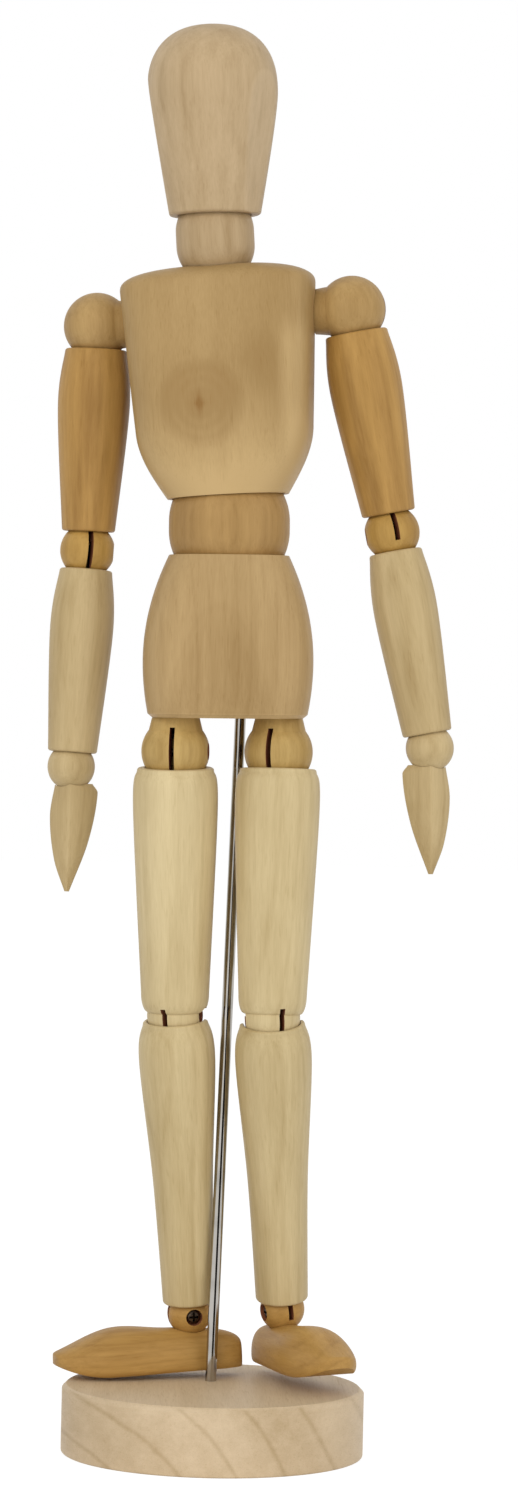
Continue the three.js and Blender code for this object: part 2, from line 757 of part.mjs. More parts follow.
function pelvis(rodHole) {
  const rings = [];
  const ring = (z, inset) => {
    const halfWidth = pelvisAt(z, pelvisBottomHalfWidth, pelvisFullHalfWidth, pelvisTopHalfWidth) - inset;
    const outline = roundedOutline(halfWidth, pelvisDepthAt(z) - inset, pelvisSquareness, blockFacets);
    rings.push(outline.map(({ x, y }) => vec3(x, y, z)));
  };
  ring(pelvisBottom, pelvisBevel);
  const body = pelvisBottom + pelvisBevel;
  for (let i = 0; i <= pelvisSteps; i++) {
    ring(body + (pelvisTop - body) * i / pelvisSteps, 0);
  }
  const zone = waistHeight - waistStraight / 2;
  const swivelTop = pelvisBottom + swivelReach + gap;
  const swivel = () => bore(swivelShankRadius + gap, pelvisBottom - overshoot, swivelTop);
  return cut(loft(rings),
    socket(waistRadius).translate(0, 0, zone),
    bore(springBore, zone - anchorReach - slotPast, zone),
    anchorHole(pelvisDepthAt(zone - anchorReach)).translate(0, 0, zone - anchorReach),
    swivel().translate(hipHalfSpan, 0, 0),
    swivel().translate(-hipHalfSpan, 0, 0),
    rodHole);
}

// Barrel of two spherical zones with a straight between them, bored for a spring.
function barrel(radius, straight, flat, facets) {
  const zone = straight / 2;
  const end = THREE.MathUtils.radToDeg(Math.asin(flat / radius));
  const lower = arc(0, -zone, radius, -end, 0, zoneSteps);
  const upper = arc(0, zone, radius, 0, end, zoneSteps);
  const form = turned([[0, -zone - flat], ...lower, ...upper, [0, zone + flat]], facets);
  return cut(form, bore(springBore + gap, -zone - radius, zone + radius));
}

// Radius of the jaw line, about, at the height of the head's pin.
const headBack = headJawRadius + (headFullRadius - headJawRadius) * (anchorReach / headWidest);

// Egg turned from a jaw line and a squarish crown, with two flat sanded cheeks.
function head() {
  const jaw = new THREE.QuadraticBezierCurve(
    vec2(headJawRadius, headBottom + headEdgeRound),
    vec2(headFullRadius, headJawBulge),
    vec2(headFullRadius, headWidest),
  );
  const skin = jaw.getPoints(jawSteps).map((point) => [point.x, point.y]);
  for (let i = 1; i <= crownSteps; i++) {
    const angle = Math.PI / 2 * i / crownSteps;
    const radius = headFullRadius * Math.cos(angle) ** (2 / headCrownSquareness);
    const rise = (headTop - headWidest) * Math.sin(angle) ** (2 / headCrownSquareness);
    skin.push([i < crownSteps ? radius : 0, headWidest + rise]);
  }
  const rim = [[0, headBottom], [headJawRadius - headEdgeRound, headBottom]];
  const size = 2 * headTop;
  const cheek = (side) => {
    const block = new THREE.BoxGeometry(size, size, 2 * size).translate(cheekDistance + size / 2, 0, 0);
    const turn = degrees(cheekAngle - 90);
    return block.rotateY(degrees(cheekTilt)).rotateZ(side > 0 ? turn : Math.PI - turn);
  };
  return cut(turned([...rim, ...skin], blockFacets),
    cheek(1),
    cheek(-1),
    socket(neckRadius),
    bore(springBore, 0, anchorReach + slotPast),
    anchorHole(headBack).translate(0, 0, anchorReach));
}

function base(rodHole) {
  const profile = [
    [0, 0], [baseRadius - baseFootChamfer, 0], [baseRadius, baseFootChamfer],
    [baseRadius, baseThickness - baseTopChamfer], [baseRadius - baseTopChamfer, baseThickness],
    [0, baseThickness],
  ];
  return cut(turned(profile, baseFacets), rodHole);
}

function rod(length) {
  const shoulder = rodRadius - rodTip;
  return turned([
    [0, 0], [shoulder, 0], [rodRadius, rodTip],
    [rodRadius, length - rodTip], [shoulder, length], [0, length],
  ], ballFacets);
}

// Assembly: each joint is a group, turned to the resting pose

const mannequin = new THREE.Group();

function place(parent, name, geometry, finish) {
  const closed = toGeometry(toSolid(geometry));
  const mesh = new THREE.Mesh(closed, new THREE.MeshStandardMaterial(finish));
  mesh.name = name;
  parent.add(mesh);
  return mesh;
}

// A joint group at a point of its parent, turned by degrees about x, y and z in the given order.
function joint(parent, name, at, [x, y, z], order) {
  const group = new THREE.Group();
  group.name = name;
  group.position.copy(at);
  group.rotation.set(degrees(x), degrees(y), degrees(z), order);
  parent.add(group);
  return group;
}

const hook = (at, axis, offset, leg) => ({ at, axis, offset, leg });
const xAxis = vec3(1, 0, 0);
const yAxis = vec3(0, 1, 0);

// Where something fixed in one group lies in another.
function between(from, to) {
  mannequin.updateMatrixWorld(true);
  return to.matrixWorld.clone().invert().multiply(from.matrixWorld);
}

const stand = joint(mannequin, 'figure_turn', vec3(rodX, rodY, baseThickness), [0, rodLean, 0], 'XYZ');
const hips = joint(mannequin, 'pelvis', vec3(0, 0, hipLineHeight), [0, pelvisLean, 0], 'XYZ');
const rodFoot = gap - rodSocketDepth;
const rodTop = hipLineHeight + pelvisBottom - baseThickness + rodHoldDepth;
const rodHole = (bottom, top) => bore(rodRadius + gap, bottom, top, ballFacets);
const baseHole = rodHole(-rodSocketDepth, rodTop).applyMatrix4(between(stand, mannequin));
const pelvisHole = rodHole(0, rodTop + gap).applyMatrix4(between(stand, hips));
place(mannequin, 'base', base(baseHole), baseWood);
place(stand, 'rod', rod(rodTop - rodFoot).translate(0, 0, rodFoot), steel);
place(hips, 'pelvis', pelvis(pelvisHole), bodyWood);

// Trunk
const waistZone = waistStraight / 2;
const middle = joint(hips, 'waist_twist', vec3(0, 0, waistHeight), [0, 0, chestTurn], 'ZYX');
const ribs = joint(middle, 'waist_bend', vec3(0, 0, waistZone), [0, chestLean, 0], 'ZYX');
const throat = joint(ribs, 'neck_turn', vec3(0, 0, neckHeight), [0, 0, headTurn], 'ZYX');
const skull = joint(throat, 'head_nod', vec3(0, 0, neckStraight / 2), [0, headLean, 0], 'ZYX');
place(middle, 'waist', barrel(waistRadius, waistStraight, waistFlat, blockFacets), ballWood);
place(ribs, 'chest', chest(), bodyWood);
place(throat, 'neck', barrel(neckRadius, neckStraight, neckFlat, limbFacets), ballWood);
place(skull, 'head', head(), bodyWood);

// Anchor pins with their springs: a pin is fixed in its block at the spring's end.
const pinBacks = {
  pelvis_waist_pin: [hips, waistHeight - waistZone - anchorReach, pelvisDepthAt],
  chest_waist_pin: [ribs, anchorReach, chestDepthAt],
  chest_neck_pin: [ribs, neckPinHeight, chestDepthAt],
};
for (const [name, [block, height, depthAt]] of Object.entries(pinBacks)) {
  place(block, name, anchorPin(depthAt(height) - pinSink), steel).position.z = height;
}
place(skull, 'head_pin', anchorPin(headBack - pinSink), steel).position.z = anchorReach;

// A spring that joins pins of two blocks, made in the frame of the ball between them.
function anchorSpring(frame, name, [lower, lowerHeight], [upper, upperHeight]) {
  const [low, high] = [between(lower, frame), between(upper, frame)];
  const end = (matrix, height) =>
    hook(vec3(0, 0, height).applyMatrix4(matrix), yAxis.clone().transformDirection(matrix), 0, anchorLeg);
  place(frame, name, spring(end(high, upperHeight), end(low, lowerHeight)), steel);
}

anchorSpring(middle, 'waist_spring', pinBacks.pelvis_waist_pin, pinBacks.chest_waist_pin);
anchorSpring(throat, 'neck_spring', pinBacks.chest_neck_pin, [skull, anchorReach]);

// Arms
const sides = { left: 1, right: -1 };
const shoulders = {};
for (const [name, side] of Object.entries(sides)) {
  const angles = pose[name];
  const at = vec3(side * shoulderHalfSpan, shoulderBack, shoulderHeight);
  const shoulder = joint(ribs, `${name}_shoulder_swivel`, at, [angles.shoulderSwivel, 0, 0], 'XYZ');
  const arm = joint(shoulder, `${name}_shoulder_lift`, vec3(), [0, angles.shoulderLift, 0], 'XYZ');
  const elbowAngles = [angles.elbowBend, angles.elbowLean, angles.elbowTurn];
  const elbow = joint(arm, `${name}_elbow_bend`, vec3(0, 0, -upperArmLength), elbowAngles, 'ZYX');
  const wristAt = vec3(0, 0, -forearmLength);
  const wrist = joint(elbow, `${name}_wrist_bend`, wristAt, [0, angles.wristBend, 0], 'ZXY');
  shoulders[name] = shoulder;
  place(shoulder, `${name}_shoulder_ball`, shoulderBall(side), ballWood);
  place(shoulder, `${name}_shoulder_screw`, backward(pivotScrew(shoulderRadius)), steel);
  place(arm, `${name}_upper_arm`, upperArm(), limbWood);
  place(elbow, `${name}_elbow_ball`, elbowBall(side), ballWood);
  place(elbow, `${name}_elbow_screw`, medial(pivotScrew(elbowRadius), side), steel);
  place(elbow, `${name}_forearm`, forearm(), limbWood);
  place(wrist, `${name}_wrist_ball`, wristBall(), ballWood);
  place(wrist, `${name}_wrist_screw`, backward(pivotScrew(wristRadius)), steel);
  place(wrist, `${name}_hand`, hand(side), limbWood);
  const elbowAxis = xAxis.clone().transformDirection(between(elbow, arm));
  const armSpring = spring(
    hook(vec3(), yAxis, eyeOffset, shoulderRadius),
    hook(vec3(0, 0, -upperArmLength), elbowAxis, -eyeOffset, elbowRadius),
  );
  place(arm, `${name}_upper_arm_spring`, armSpring, steel);
  const wristAxis = yAxis.clone().transformDirection(between(wrist, elbow));
  const foreSpring = spring(
    hook(vec3(), xAxis, eyeOffset, elbowRadius),
    hook(wristAt, wristAxis, 0, wristRadius),
  );
  place(elbow, `${name}_forearm_spring`, foreSpring, steel);
}

// Shoulder spring across the chest
const shoulderEnd = (name, side) => hook(
  vec3(side * shoulderHalfSpan, shoulderBack, shoulderHeight),
  yAxis.clone().transformDirection(between(shoulders[name], ribs)),
  -eyeOffset,
  shoulderRadius,
);
place(ribs, 'shoulder_spring', spring(shoulderEnd('left', 1), shoulderEnd('right', -1)), steel);

// Legs
for (const [name, side] of Object.entries(sides)) {
  const angles = pose[name];
  const hipAt = vec3(side * hipHalfSpan, 0, 0);
  const hip = joint(hips, `${name}_hip_swivel`, hipAt, [0, 0, angles.hipTurn], 'ZYX');
  const leg = joint(hip, `${name}_hip_swing`, vec3(), [angles.hipSwing, 0, 0], 'ZYX');
  const kneeAt = vec3(0, 0, -thighLength);
  const kneeAngles = [angles.kneeBend, angles.kneeLean, angles.kneeTurn];
  const kneeFrame = new THREE.Euler(0, degrees(angles.kneeLean), degrees(angles.kneeTurn), 'ZYX');
  const knee = joint(leg, `${name}_knee_bend`, kneeAt, kneeAngles, 'ZYX');
  const ankleAt = vec3(0, 0, -shinLength);
  const ankleAngles = [angles.ankleBend, 0, angles.ankleTurn];
  const ankle = joint(knee, `${name}_ankle_bend`, ankleAt, ankleAngles, 'ZYX');
  place(hips, `${name}_hip_swivel_screw`, swivelScrew(), steel).position.copy(hipAt);
  place(hip, `${name}_hip_ball`, hipBall(side), ballWood);
  place(hip, `${name}_hip_screw`, medial(pivotScrew(hipRadius), side), steel);
  place(leg, `${name}_thigh`, thigh(side, kneeFrame), limbWood);
  const kneeScrew = place(leg, `${name}_knee_screw`, medial(pivotScrew(kneeRadius), side), steel);
  kneeScrew.position.copy(kneeAt);
  kneeScrew.rotation.copy(kneeFrame);
  place(knee, `${name}_shin`, shin(), limbWood);
  place(ankle, `${name}_ankle_ball`, ankleBall(side), ballWood);
  place(ankle, `${name}_ankle_screw`, medial(pivotScrew(ankleRadius), side), steel);
  place(ankle, `${name}_foot`, foot(), ballWood).rotation.y = degrees(angles.footLean);
  const kneeAxis = xAxis.clone().applyEuler(kneeFrame);
  const thighSpring = spring(
    hook(vec3(), xAxis, 0, hipRadius),
    hook(kneeAt, kneeAxis, -eyeOffset, kneeRadius),
  );
  place(leg, `${name}_thigh_spring`, thighSpring, steel);
  const ankleAxis = xAxis.clone().transformDirection(between(ankle, knee));
  const shinSpring = spring(
    hook(vec3(), xAxis, eyeOffset, kneeRadius),
    hook(ankleAt, ankleAxis, 0, ankleRadius),
  );
  place(knee, `${name}_shin_spring`, shinSpring, steel);
}

export default mannequin;
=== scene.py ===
"""Dresses the jointed wooden artist mannequin: turned limbs, carved blocks, slots, screws, rod and base."""

import json
import math

import bpy
import numpy as np
from bpy.props import FloatProperty, FloatVectorProperty, IntProperty, PointerProperty
from mathutils import Matrix


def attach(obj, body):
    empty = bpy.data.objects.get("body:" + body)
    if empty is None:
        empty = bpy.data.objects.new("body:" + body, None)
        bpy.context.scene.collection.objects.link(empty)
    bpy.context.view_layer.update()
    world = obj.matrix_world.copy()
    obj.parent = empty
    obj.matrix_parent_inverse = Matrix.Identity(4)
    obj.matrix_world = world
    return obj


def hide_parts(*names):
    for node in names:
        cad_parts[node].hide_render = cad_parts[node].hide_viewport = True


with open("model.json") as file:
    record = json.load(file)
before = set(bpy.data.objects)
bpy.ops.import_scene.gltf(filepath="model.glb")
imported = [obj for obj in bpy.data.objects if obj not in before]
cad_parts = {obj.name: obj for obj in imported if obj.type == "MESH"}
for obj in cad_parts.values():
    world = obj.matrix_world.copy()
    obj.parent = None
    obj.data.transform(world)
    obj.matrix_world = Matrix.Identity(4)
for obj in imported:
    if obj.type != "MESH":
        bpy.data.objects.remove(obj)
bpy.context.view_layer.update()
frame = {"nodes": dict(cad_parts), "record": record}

bl_info = {
    "name": "Wooden artist mannequin",
    "version": (1, 0, 0),
    "blender": (4, 5, 0),
    "location": "View3D > Sidebar > Mannequin",
    "description": "Turned and carved pieces, finishes and studio for a jointed wooden figure",
    "category": "Object",
}

MM = 0.001
SIDES = {"left": 1, "right": -1}
JOINTS = {joint["name"]: joint for joint in frame["record"]["behaviour"]["joints"]}

# Outlines in millimetres, as (place, half-size or height) stops
HAND_THUMB = ((3.6, 4.7), (5.5, 5.9), (16.0, 4.25), (26.9, 0.5))
HAND_OUTER = ((3.6, 3.3), (10.8, 4.2), (20.2, 2.95), (26.9, 0.5))
HAND_THICK = ((3.6, 3.6), (16.0, 2.9), (26.9, 0.5))
FOOT_WIDTH = ((-30.2, 6.75), (-18.0, 7.5), (0.0, 5.4), (11.3, 5.4))
FOOT_TOP = ((-30.2, 5.8), (-18.0, 9.7), (-5.4, 9.0), (11.3, 8.8))

# Clearances and lengths of cuts, in metres
SEAT_FIT = 0.1 * MM  # round a wrist or ankle ball in its hand or foot
HIP_GAP = 0.05 * MM  # between a hip ball's neck and the pelvis
PIN_DEPTH = 18 * MM  # from a block's middle past its back
BARREL_BORE = 20 * MM  # from a barrel's middle past each end
ROD_HOLE = 40 * MM  # from the rod's top down past the pelvis
RELIEF_HALF, RELIEF_DEPTH = 20 * MM, 33 * MM  # of the block that cuts behind a knee
CHEEK_BLEND = 0.2 * MM  # over which a sanded cheek runs into the round head
TIP_DEPTH = 0.4 * MM  # of the points that give a hand's tip

# Steps on curves, and where turned forms end
LIP_STEPS = 9
SKIN_STEPS = 56
HOLE_FACETS = 48
CUP_FACETS = 96
POLE = 89.8  # latitude in degrees, just short of the pole
AXIS = 1e-5  # radius in metres of a profile's point on its axis

# Studio, in metres, watts and degrees
FLOOR_REACH = 3.0
CARD_AT = -0.05  # the card's place before the figure
CARD_OUTLINE = ((-0.007, 0.001), (0.036, 0.001), (0.036, 0.5), (-0.007, 0.5))
LIGHTS = {"key": ((-0.55, -1.5, 0.75), 1.3, 11.0), "fill": ((1.1, -1.2, 0.4), 1.2, 6.0)}  # place, size, power
LIGHT_TARGET = (0.0, 0.0, 0.15)
CAMERA_PLACE, CAMERA_TARGET = (-0.0232, -1.0, 0.1677), (0.0068, 0.0, 0.1505)
CAMERA_ROLL, CAMERA_ANGLE = 1.28, 18.174


def linear(red, green, blue):
    """Scene-linear colour of a display colour given in steps of 255."""
    levels = np.array((red, green, blue)) / 255
    return tuple(np.where(levels <= 0.04045, levels / 12.92, ((levels + 0.055) / 1.055) ** 2.4).tolist())


def length(name, millimetres, description):
    """A length that the user may change, with its default in millimetres."""
    return FloatProperty(
        name=name, description=description, default=millimetres * MM, min=0.0, precision=5, unit="LENGTH"
    )


def angle(name, degrees, description):
    """An angle that the user may change, with its default in degrees."""
    return FloatProperty(name=name, description=description, default=math.radians(degrees), subtype="ANGLE")


def amount(name, default, description):
    """A plain number that the user may change."""
    return FloatProperty(name=name, description=description, default=default, precision=3)


def colour(name, shade, description):
    """A colour that the user may change, with its default as a display colour."""
    return FloatVectorProperty(
        name=name, description=description, default=linear(*shade), size=3, min=0.0, max=1.0, subtype="COLOR"
    )


class MannequinTrunk(bpy.types.PropertyGroup):
    """Sizes of the pelvis, waist, chest, neck and head."""

    pelvis_bottom: length("Pelvis bottom", 7.2, "Hip line up to the underside of the pelvis")
    pelvis_widest: length("Pelvis widest", 19.2, "Hip line up to the widest level of the pelvis")
    pelvis_top: length("Pelvis top", 41.8, "Hip line up to the top of the pelvis")
    pelvis_bottom_width: length("Pelvis bottom width", 33.8, "Width of the pelvis at its underside")
    pelvis_full_width: length("Pelvis width", 36.4, "Greatest width of the pelvis")
    pelvis_top_width: length("Pelvis top width", 25.6, "Width of the pelvis at its top")
    pelvis_bottom_depth: length("Pelvis bottom depth", 24.4, "Depth of the pelvis at its underside")
    pelvis_full_depth: length("Pelvis depth", 26.8, "Greatest depth of the pelvis")
    pelvis_top_depth: length("Pelvis top depth", 25.2, "Depth of the pelvis at its top")
    pelvis_bevel: length("Pelvis bevel", 0.8, "Eased edge round the underside of the pelvis")
    pelvis_squareness: amount("Pelvis squareness", 2.7, "Superellipse power of the pelvis outline")
    waist_radius: length("Waist radius", 12.9, "Radius of the waist barrel")
    waist_straight: length("Waist straight", 2.0, "Straight length between its rounded zones")
    waist_flat: length("Waist flat", 7.4, "Middle of a rounded zone to the waist's end face")
    chest_bottom: length("Chest bottom", 5.3, "Waist pivot up to the underside of the chest")
    chest_rib: length("Chest ribs", 20.0, "Waist pivot up to where the lower curve ends")
    chest_deepest: length("Chest deepest", 25.0, "Waist pivot up to the deepest level of the chest")
    chest_corner: length("Chest corners", 49.9, "Waist pivot up to the corners of the chest")
    chest_top: length("Chest top", 54.6, "Waist pivot up to the crown of the chest")
    chest_bottom_width: length("Chest bottom width", 25.8, "Width of the chest at its underside")
    chest_rib_width: length("Chest rib width", 37.4, "Width of the chest at the ribs")
    chest_top_width: length("Chest top width", 41.6, "Width of the chest at its corners")
    chest_bottom_depth: length("Chest bottom depth", 25.2, "Depth of the chest at its underside")
    chest_rib_depth: length("Chest rib depth", 27.6, "Greatest depth of the chest")
    chest_top_depth: length("Chest top depth", 22.0, "Depth of the chest at its corners")
    chest_squareness: amount("Chest squareness", 3.0, "Superellipse power of the chest outline")
    chest_bottom_squareness: amount("Chest bottom squareness", 2.2, "Superellipse power at the underside")
    chest_crown_power: amount("Chest crown power", 2.6, "Superellipse power of the cushioned top")
    neck_radius: length("Neck radius", 8.35, "Radius of the neck barrel")
    neck_straight: length("Neck straight", 3.0, "Straight length between the two rounded zones of the neck")
    neck_flat: length("Neck flat", 5.6, "Middle of a rounded zone to the neck's end face")
    head_bottom: length("Head bottom", 3.4, "Head pivot up to the underside of the head")
    head_widest: length("Head widest", 29.5, "Head pivot up to the widest level of the head")
    head_top: length("Head top", 43.95, "Head pivot up to the top of the head")
    head_jaw_radius: length("Jaw radius", 10.0, "Radius of the head at its underside")
    head_jaw_bulge: length("Jaw bulge", 25.5, "Height that the jaw line aims at")
    head_radius: length("Head radius", 13.95, "Greatest radius of the head")
    head_edge: length("Head edge", 0.8, "Rounding of the head's lower edge")
    head_crown_power: amount("Crown power", 2.4, "Superellipse power of the crown")
    cheek_distance: length("Cheek distance", 9.05, "Head pivot out to a sanded cheek")
    cheek_tilt: angle("Cheek tilt", 8.0, "Lean of a sanded cheek towards the chin")
    cheek_angle: angle("Cheek angle", 75.0, "Turn of a sanded cheek from the front")


class MannequinLimbs(bpy.types.PropertyGroup):
    """Sizes of the arms, hands, legs and feet."""

    edge_round: length("Lip round", 0.6, "Rounding of a turned limb's end lips")
    shoulder_radius: length("Shoulder radius", 7.2, "Radius of a shoulder ball")
    shoulder_neck: length("Shoulder neck", 4.8, "Radius of a shoulder ball's neck at the chest")
    shoulder_neck_angle: angle("Shoulder neck angle", 44.0, "Latitude where the neck leaves the ball")
    shoulder_reach: length("Shoulder reach", 8.0, "Shoulder ball's middle to the end of its neck")
    upper_arm_rim: length("Upper arm rim", 5.0, "Shoulder middle down to the upper arm's rim")
    upper_arm_top: length("Upper arm top", 6.7, "Radius at the upper arm's rim")
    upper_arm_full: length("Upper arm full", 7.75, "Greatest radius of the upper arm")
    upper_arm_full_at: length("Upper arm full at", 17.5, "Shoulder middle down to the greatest radius")
    upper_arm_end: length("Upper arm end", 5.75, "Radius at the elbow")
    elbow_radius: length("Elbow radius", 5.9, "Radius of an elbow ball")
    elbow_rim: length("Elbow rim", 4.1, "Elbow middle to the rims of the two cups on it")
    forearm_top: length("Forearm top", 5.7, "Radius at the forearm's upper rim")
    forearm_full: length("Forearm full", 6.82, "Greatest radius of the forearm")
    forearm_full_at: length("Forearm full at", 17.0, "Elbow middle down to the greatest radius")
    forearm_end: length("Forearm end", 5.3, "Radius at the wrist")
    wrist_radius: length("Wrist radius", 5.13, "Radius of a wrist ball")
    wrist_rim: length("Wrist rim", 3.1, "Wrist middle up to the forearm's rim")
    hand_ridge: amount("Hand ridge", 1.28, "Superellipse power of a hand's section; under 2 it has a ridge")
    hip_radius: length("Hip radius", 7.3, "Radius of a hip ball")
    hip_neck: length("Hip neck", 5.1, "Radius of a hip ball's neck at the pelvis")
    hip_neck_angle: angle("Hip neck angle", 38.0, "Latitude where the neck leaves the ball")
    thigh_rim: length("Thigh rim", 3.5, "Hip middle down to the thigh's rim")
    thigh_top: length("Thigh top", 8.22, "Radius at the thigh's rim")
    thigh_full: length("Thigh full", 9.07, "Greatest radius of the thigh")
    thigh_full_at: length("Thigh full at", 12.0, "Hip middle down to the greatest radius")
    thigh_end: length("Thigh end", 7.3, "Radius where the thigh rounds into the knee ball")
    thigh_end_at: length("Thigh end at", 4.8, "Knee middle up to that rounding")
    knee_radius: length("Knee radius", 6.0, "Radius of a knee ball")
    knee_waist: angle("Knee waist", 8.0, "Latitude where the knee ball leaves the thigh")
    knee_rim: length("Knee rim", 1.1, "Knee middle down to the shin's rim")
    knee_relief: angle("Knee relief", 33.5, "Slope of the flats that let the knee bend back")
    knee_relief_back: length("Knee relief back", 1.0, "Knee middle back to the edge of those flats")
    shin_top: length("Shin top", 7.0, "Radius at the shin's upper rim")
    shin_full: length("Shin full", 8.2, "Greatest radius of the shin")
    shin_full_at: length("Shin full at", 9.5, "Knee middle down to the greatest radius")
    shin_hollow: length("Shin hollow", 0.45, "How much the calf's taper draws in below a straight line")
    shin_end: length("Shin end", 5.65, "Radius at the ankle")
    ankle_radius: length("Ankle radius", 4.8, "Radius of an ankle ball")
    ankle_rim: length("Ankle rim", 2.5, "Ankle middle up to the shin's rim")
    ankle_height: length("Ankle height", 12.0, "Sole up to the ankle middle")
    sole_rise: length("Sole rise", 1.5, "Height of a foot's widest line above its sole")
    toe_spring: length("Toe spring", 2.6, "Rise of the sole at the toe")
    toe_spring_start: length("Toe spring start", 19.0, "Ankle to where the sole starts to rise")
    foot_squareness: amount("Foot squareness", 2.4, "Superellipse power of a foot's section")
    slot_width: length("Slot width", 1.1, "Width of the saw slots in the balls")
    slot_skew: angle("Slot skew", 12.0, "Turn of the hand-sawn slots in the elbows and knees")
    slot_past: length("Slot past", 2.0, "How far a slot runs past a ball's middle")
    right_elbow_slot_past: length("Right elbow slot past", 4.4, "The same for the right elbow's deeper slot")
    hip_slot_past: length("Hip slot past", 5.1, "How far a hip slot runs past its ball's middle")
    eye_offset: length("Eye offset", 0.5, "Side step of a slot that takes one of two spring eyes")
    spring_bore: length("Spring bore", 2.6, "Radius of the bores that the springs lie in")
    fit: length("Fit", 0.3, "Clearance between a ball and its cup")


class MannequinHardware(bpy.types.PropertyGroup):
    """Sizes of the base, rod, screws and pins."""

    base_radius: length("Base radius", 32.29, "Radius of the round base")
    base_thickness: length("Base thickness", 14.5, "Height of the base")
    base_chamfer: length("Base chamfer", 1.0, "Chamfer round the top of the base")
    base_foot: length("Base foot", 0.5, "Eased edge round the underside of the base")
    rod_radius: length("Rod radius", 1.2, "Radius of the rod")
    rod_tip: length("Rod tip", 0.4, "Chamfer on the rod's ends")
    screw_head: length("Screw head", 1.5, "Radius of a pivot screw's head")
    screw_head_height: length("Screw head height", 1.1, "Height of a pivot screw's head")
    screw_sink: length("Screw sink", 0.7, "Depth of a screw's head below the ball")
    screw_cover: length("Screw cover", 1.0, "Wood left over a screw's tip")
    screw_shank: length("Screw shank", 0.6, "Radius of a pivot screw's shank")
    screw_recess: length("Screw recess", 0.7, "Depth of a screw's cross recess")
    swivel_head: length("Swivel head", 1.7, "Radius of the head of a hip's swivel screw")
    swivel_shank: length("Swivel shank", 0.8, "Radius of the shank of a hip's swivel screw")
    swivel_room: length("Swivel room", 4.2, "Hip middle up to the ceiling over the swivel screw's head")
    anchor_reach: length("Anchor reach", 17.0, "Joint to the pin that anchors a trunk spring")
    neck_anchor_reach: length("Neck anchor reach", 12.1, "Neck middle down to the pin in the chest")


class MannequinFinish(bpy.types.PropertyGroup):
    """Colours of the woods, metal and studio, and how finely curves are stepped."""

    head: colour("Head wood", (184, 158, 119), "Wood of the head and neck")
    chest: colour("Chest wood", (182, 151, 100), "Wood of the chest")
    waist: colour("Waist wood", (166, 130, 76), "Wood of the waist barrel")
    pelvis: colour("Pelvis wood", (181, 150, 101), "Wood of the pelvis")
    shoulder: colour("Shoulder wood", (179, 145, 90), "Wood of the shoulder balls")
    arm: colour("Upper arm wood", (172, 131, 68), "Wood of the upper arms")
    elbow: colour("Elbow wood", (181, 142, 73), "Wood of the elbow balls")
    forearm: colour("Forearm wood", (193, 169, 122), "Wood of the forearms, wrists and hands")
    hip: colour("Hip wood", (185, 153, 91), "Wood of the hip balls")
    leg: colour("Leg wood", (205, 184, 137), "Wood of the thighs and shins")
    foot: colour("Foot wood", (177, 136, 71), "Wood of the ankle balls and feet")
    base: colour("Base wood", (206, 182, 146), "Wood of the base")
    # The sawn colour is painted shade: it darkens the walls of slots and holes.
    sawn: colour("Sawn wood", (128, 78, 54), "Scorched walls of the saw slots and screw holes")
    steel: colour("Steel", (180, 176, 170), "Bright steel of the rod")
    screw: colour("Screw steel", (110, 96, 84), "Browned steel of the screws and pins")
    # This colour also paints shade on the walls of the screws' cross recesses.
    spring: colour("Spring steel", (52, 42, 36), "Dull steel of the springs")
    floor: colour("Floor", (235, 235, 235), "Studio floor")
    facets: IntProperty(name="Facets", description="Steps round a turned piece", default=112, min=24)


def settings():
    """The four groups of sizes and colours, in the order trunk, limbs, hardware, finish."""
    scene = bpy.context.scene
    return scene.mannequin_trunk, scene.mannequin_limbs, scene.mannequin_hardware, scene.mannequin_finish


# Frames of the resting pose


def unit(vector):
    """The vector at length one."""
    return np.asarray(vector, float) / np.linalg.norm(vector)


def local_frame(origin, exact, near):
    """4x4 frame: one named axis lies on a direction, a second as near another as it can."""
    (first, along), (second, toward) = exact, near
    axes = {first: unit(along)}
    toward = np.asarray(toward, float)
    axes[second] = unit(toward - np.dot(toward, axes[first]) * axes[first])
    third = next(axis for axis in "xyz" if axis not in axes)
    turn = "xyz".index(third)
    axes[third] = np.cross(axes["xyz"[(turn + 1) % 3]], axes["xyz"[(turn + 2) % 3]])
    made = np.eye(4)
    made[:3, :3] = np.column_stack([axes[axis] for axis in "xyz"])
    made[:3, 3] = origin
    return made


def shifted(where, x=0.0, y=0.0, z=0.0):
    """A frame moved along its own axes."""
    moved = where.copy()
    moved[:3, 3] += where[:3, :3] @ np.array((x, y, z))
    return moved


def spin(degrees, axis="Z"):
    """4x4 turn about one axis."""
    return np.array(Matrix.Rotation(math.radians(degrees), 4, axis))


def spot(joint):
    """Where a joint's pivot lies at rest."""
    return np.array(JOINTS[joint]["pos_m"])


def pivot(joint):
    """The direction of a joint's axis."""
    return np.array(JOINTS[joint]["axis"])


def node_points(node):
    """All vertices of a CAD node as one array."""
    mesh = frame["nodes"][node].data
    points = np.empty(3 * len(mesh.vertices))
    mesh.vertices.foreach_get("co", points)
    return points.reshape(-1, 3)


def sole_up(side):
    """Upward normal of a foot's flat sole: the downward direction that most of the node's area shares."""
    faces = frame["nodes"][f"{side}_foot"].data.polygons
    normals, areas = np.empty(3 * len(faces)), np.empty(len(faces))
    faces.foreach_get("normal", normals)
    faces.foreach_get("area", areas)
    normals = normals.reshape(-1, 3)
    shared = (normals @ normals.T > 0.9999) @ areas
    return -normals[np.argmax(np.where(normals[:, 2] < -0.9, shared, 0.0))]


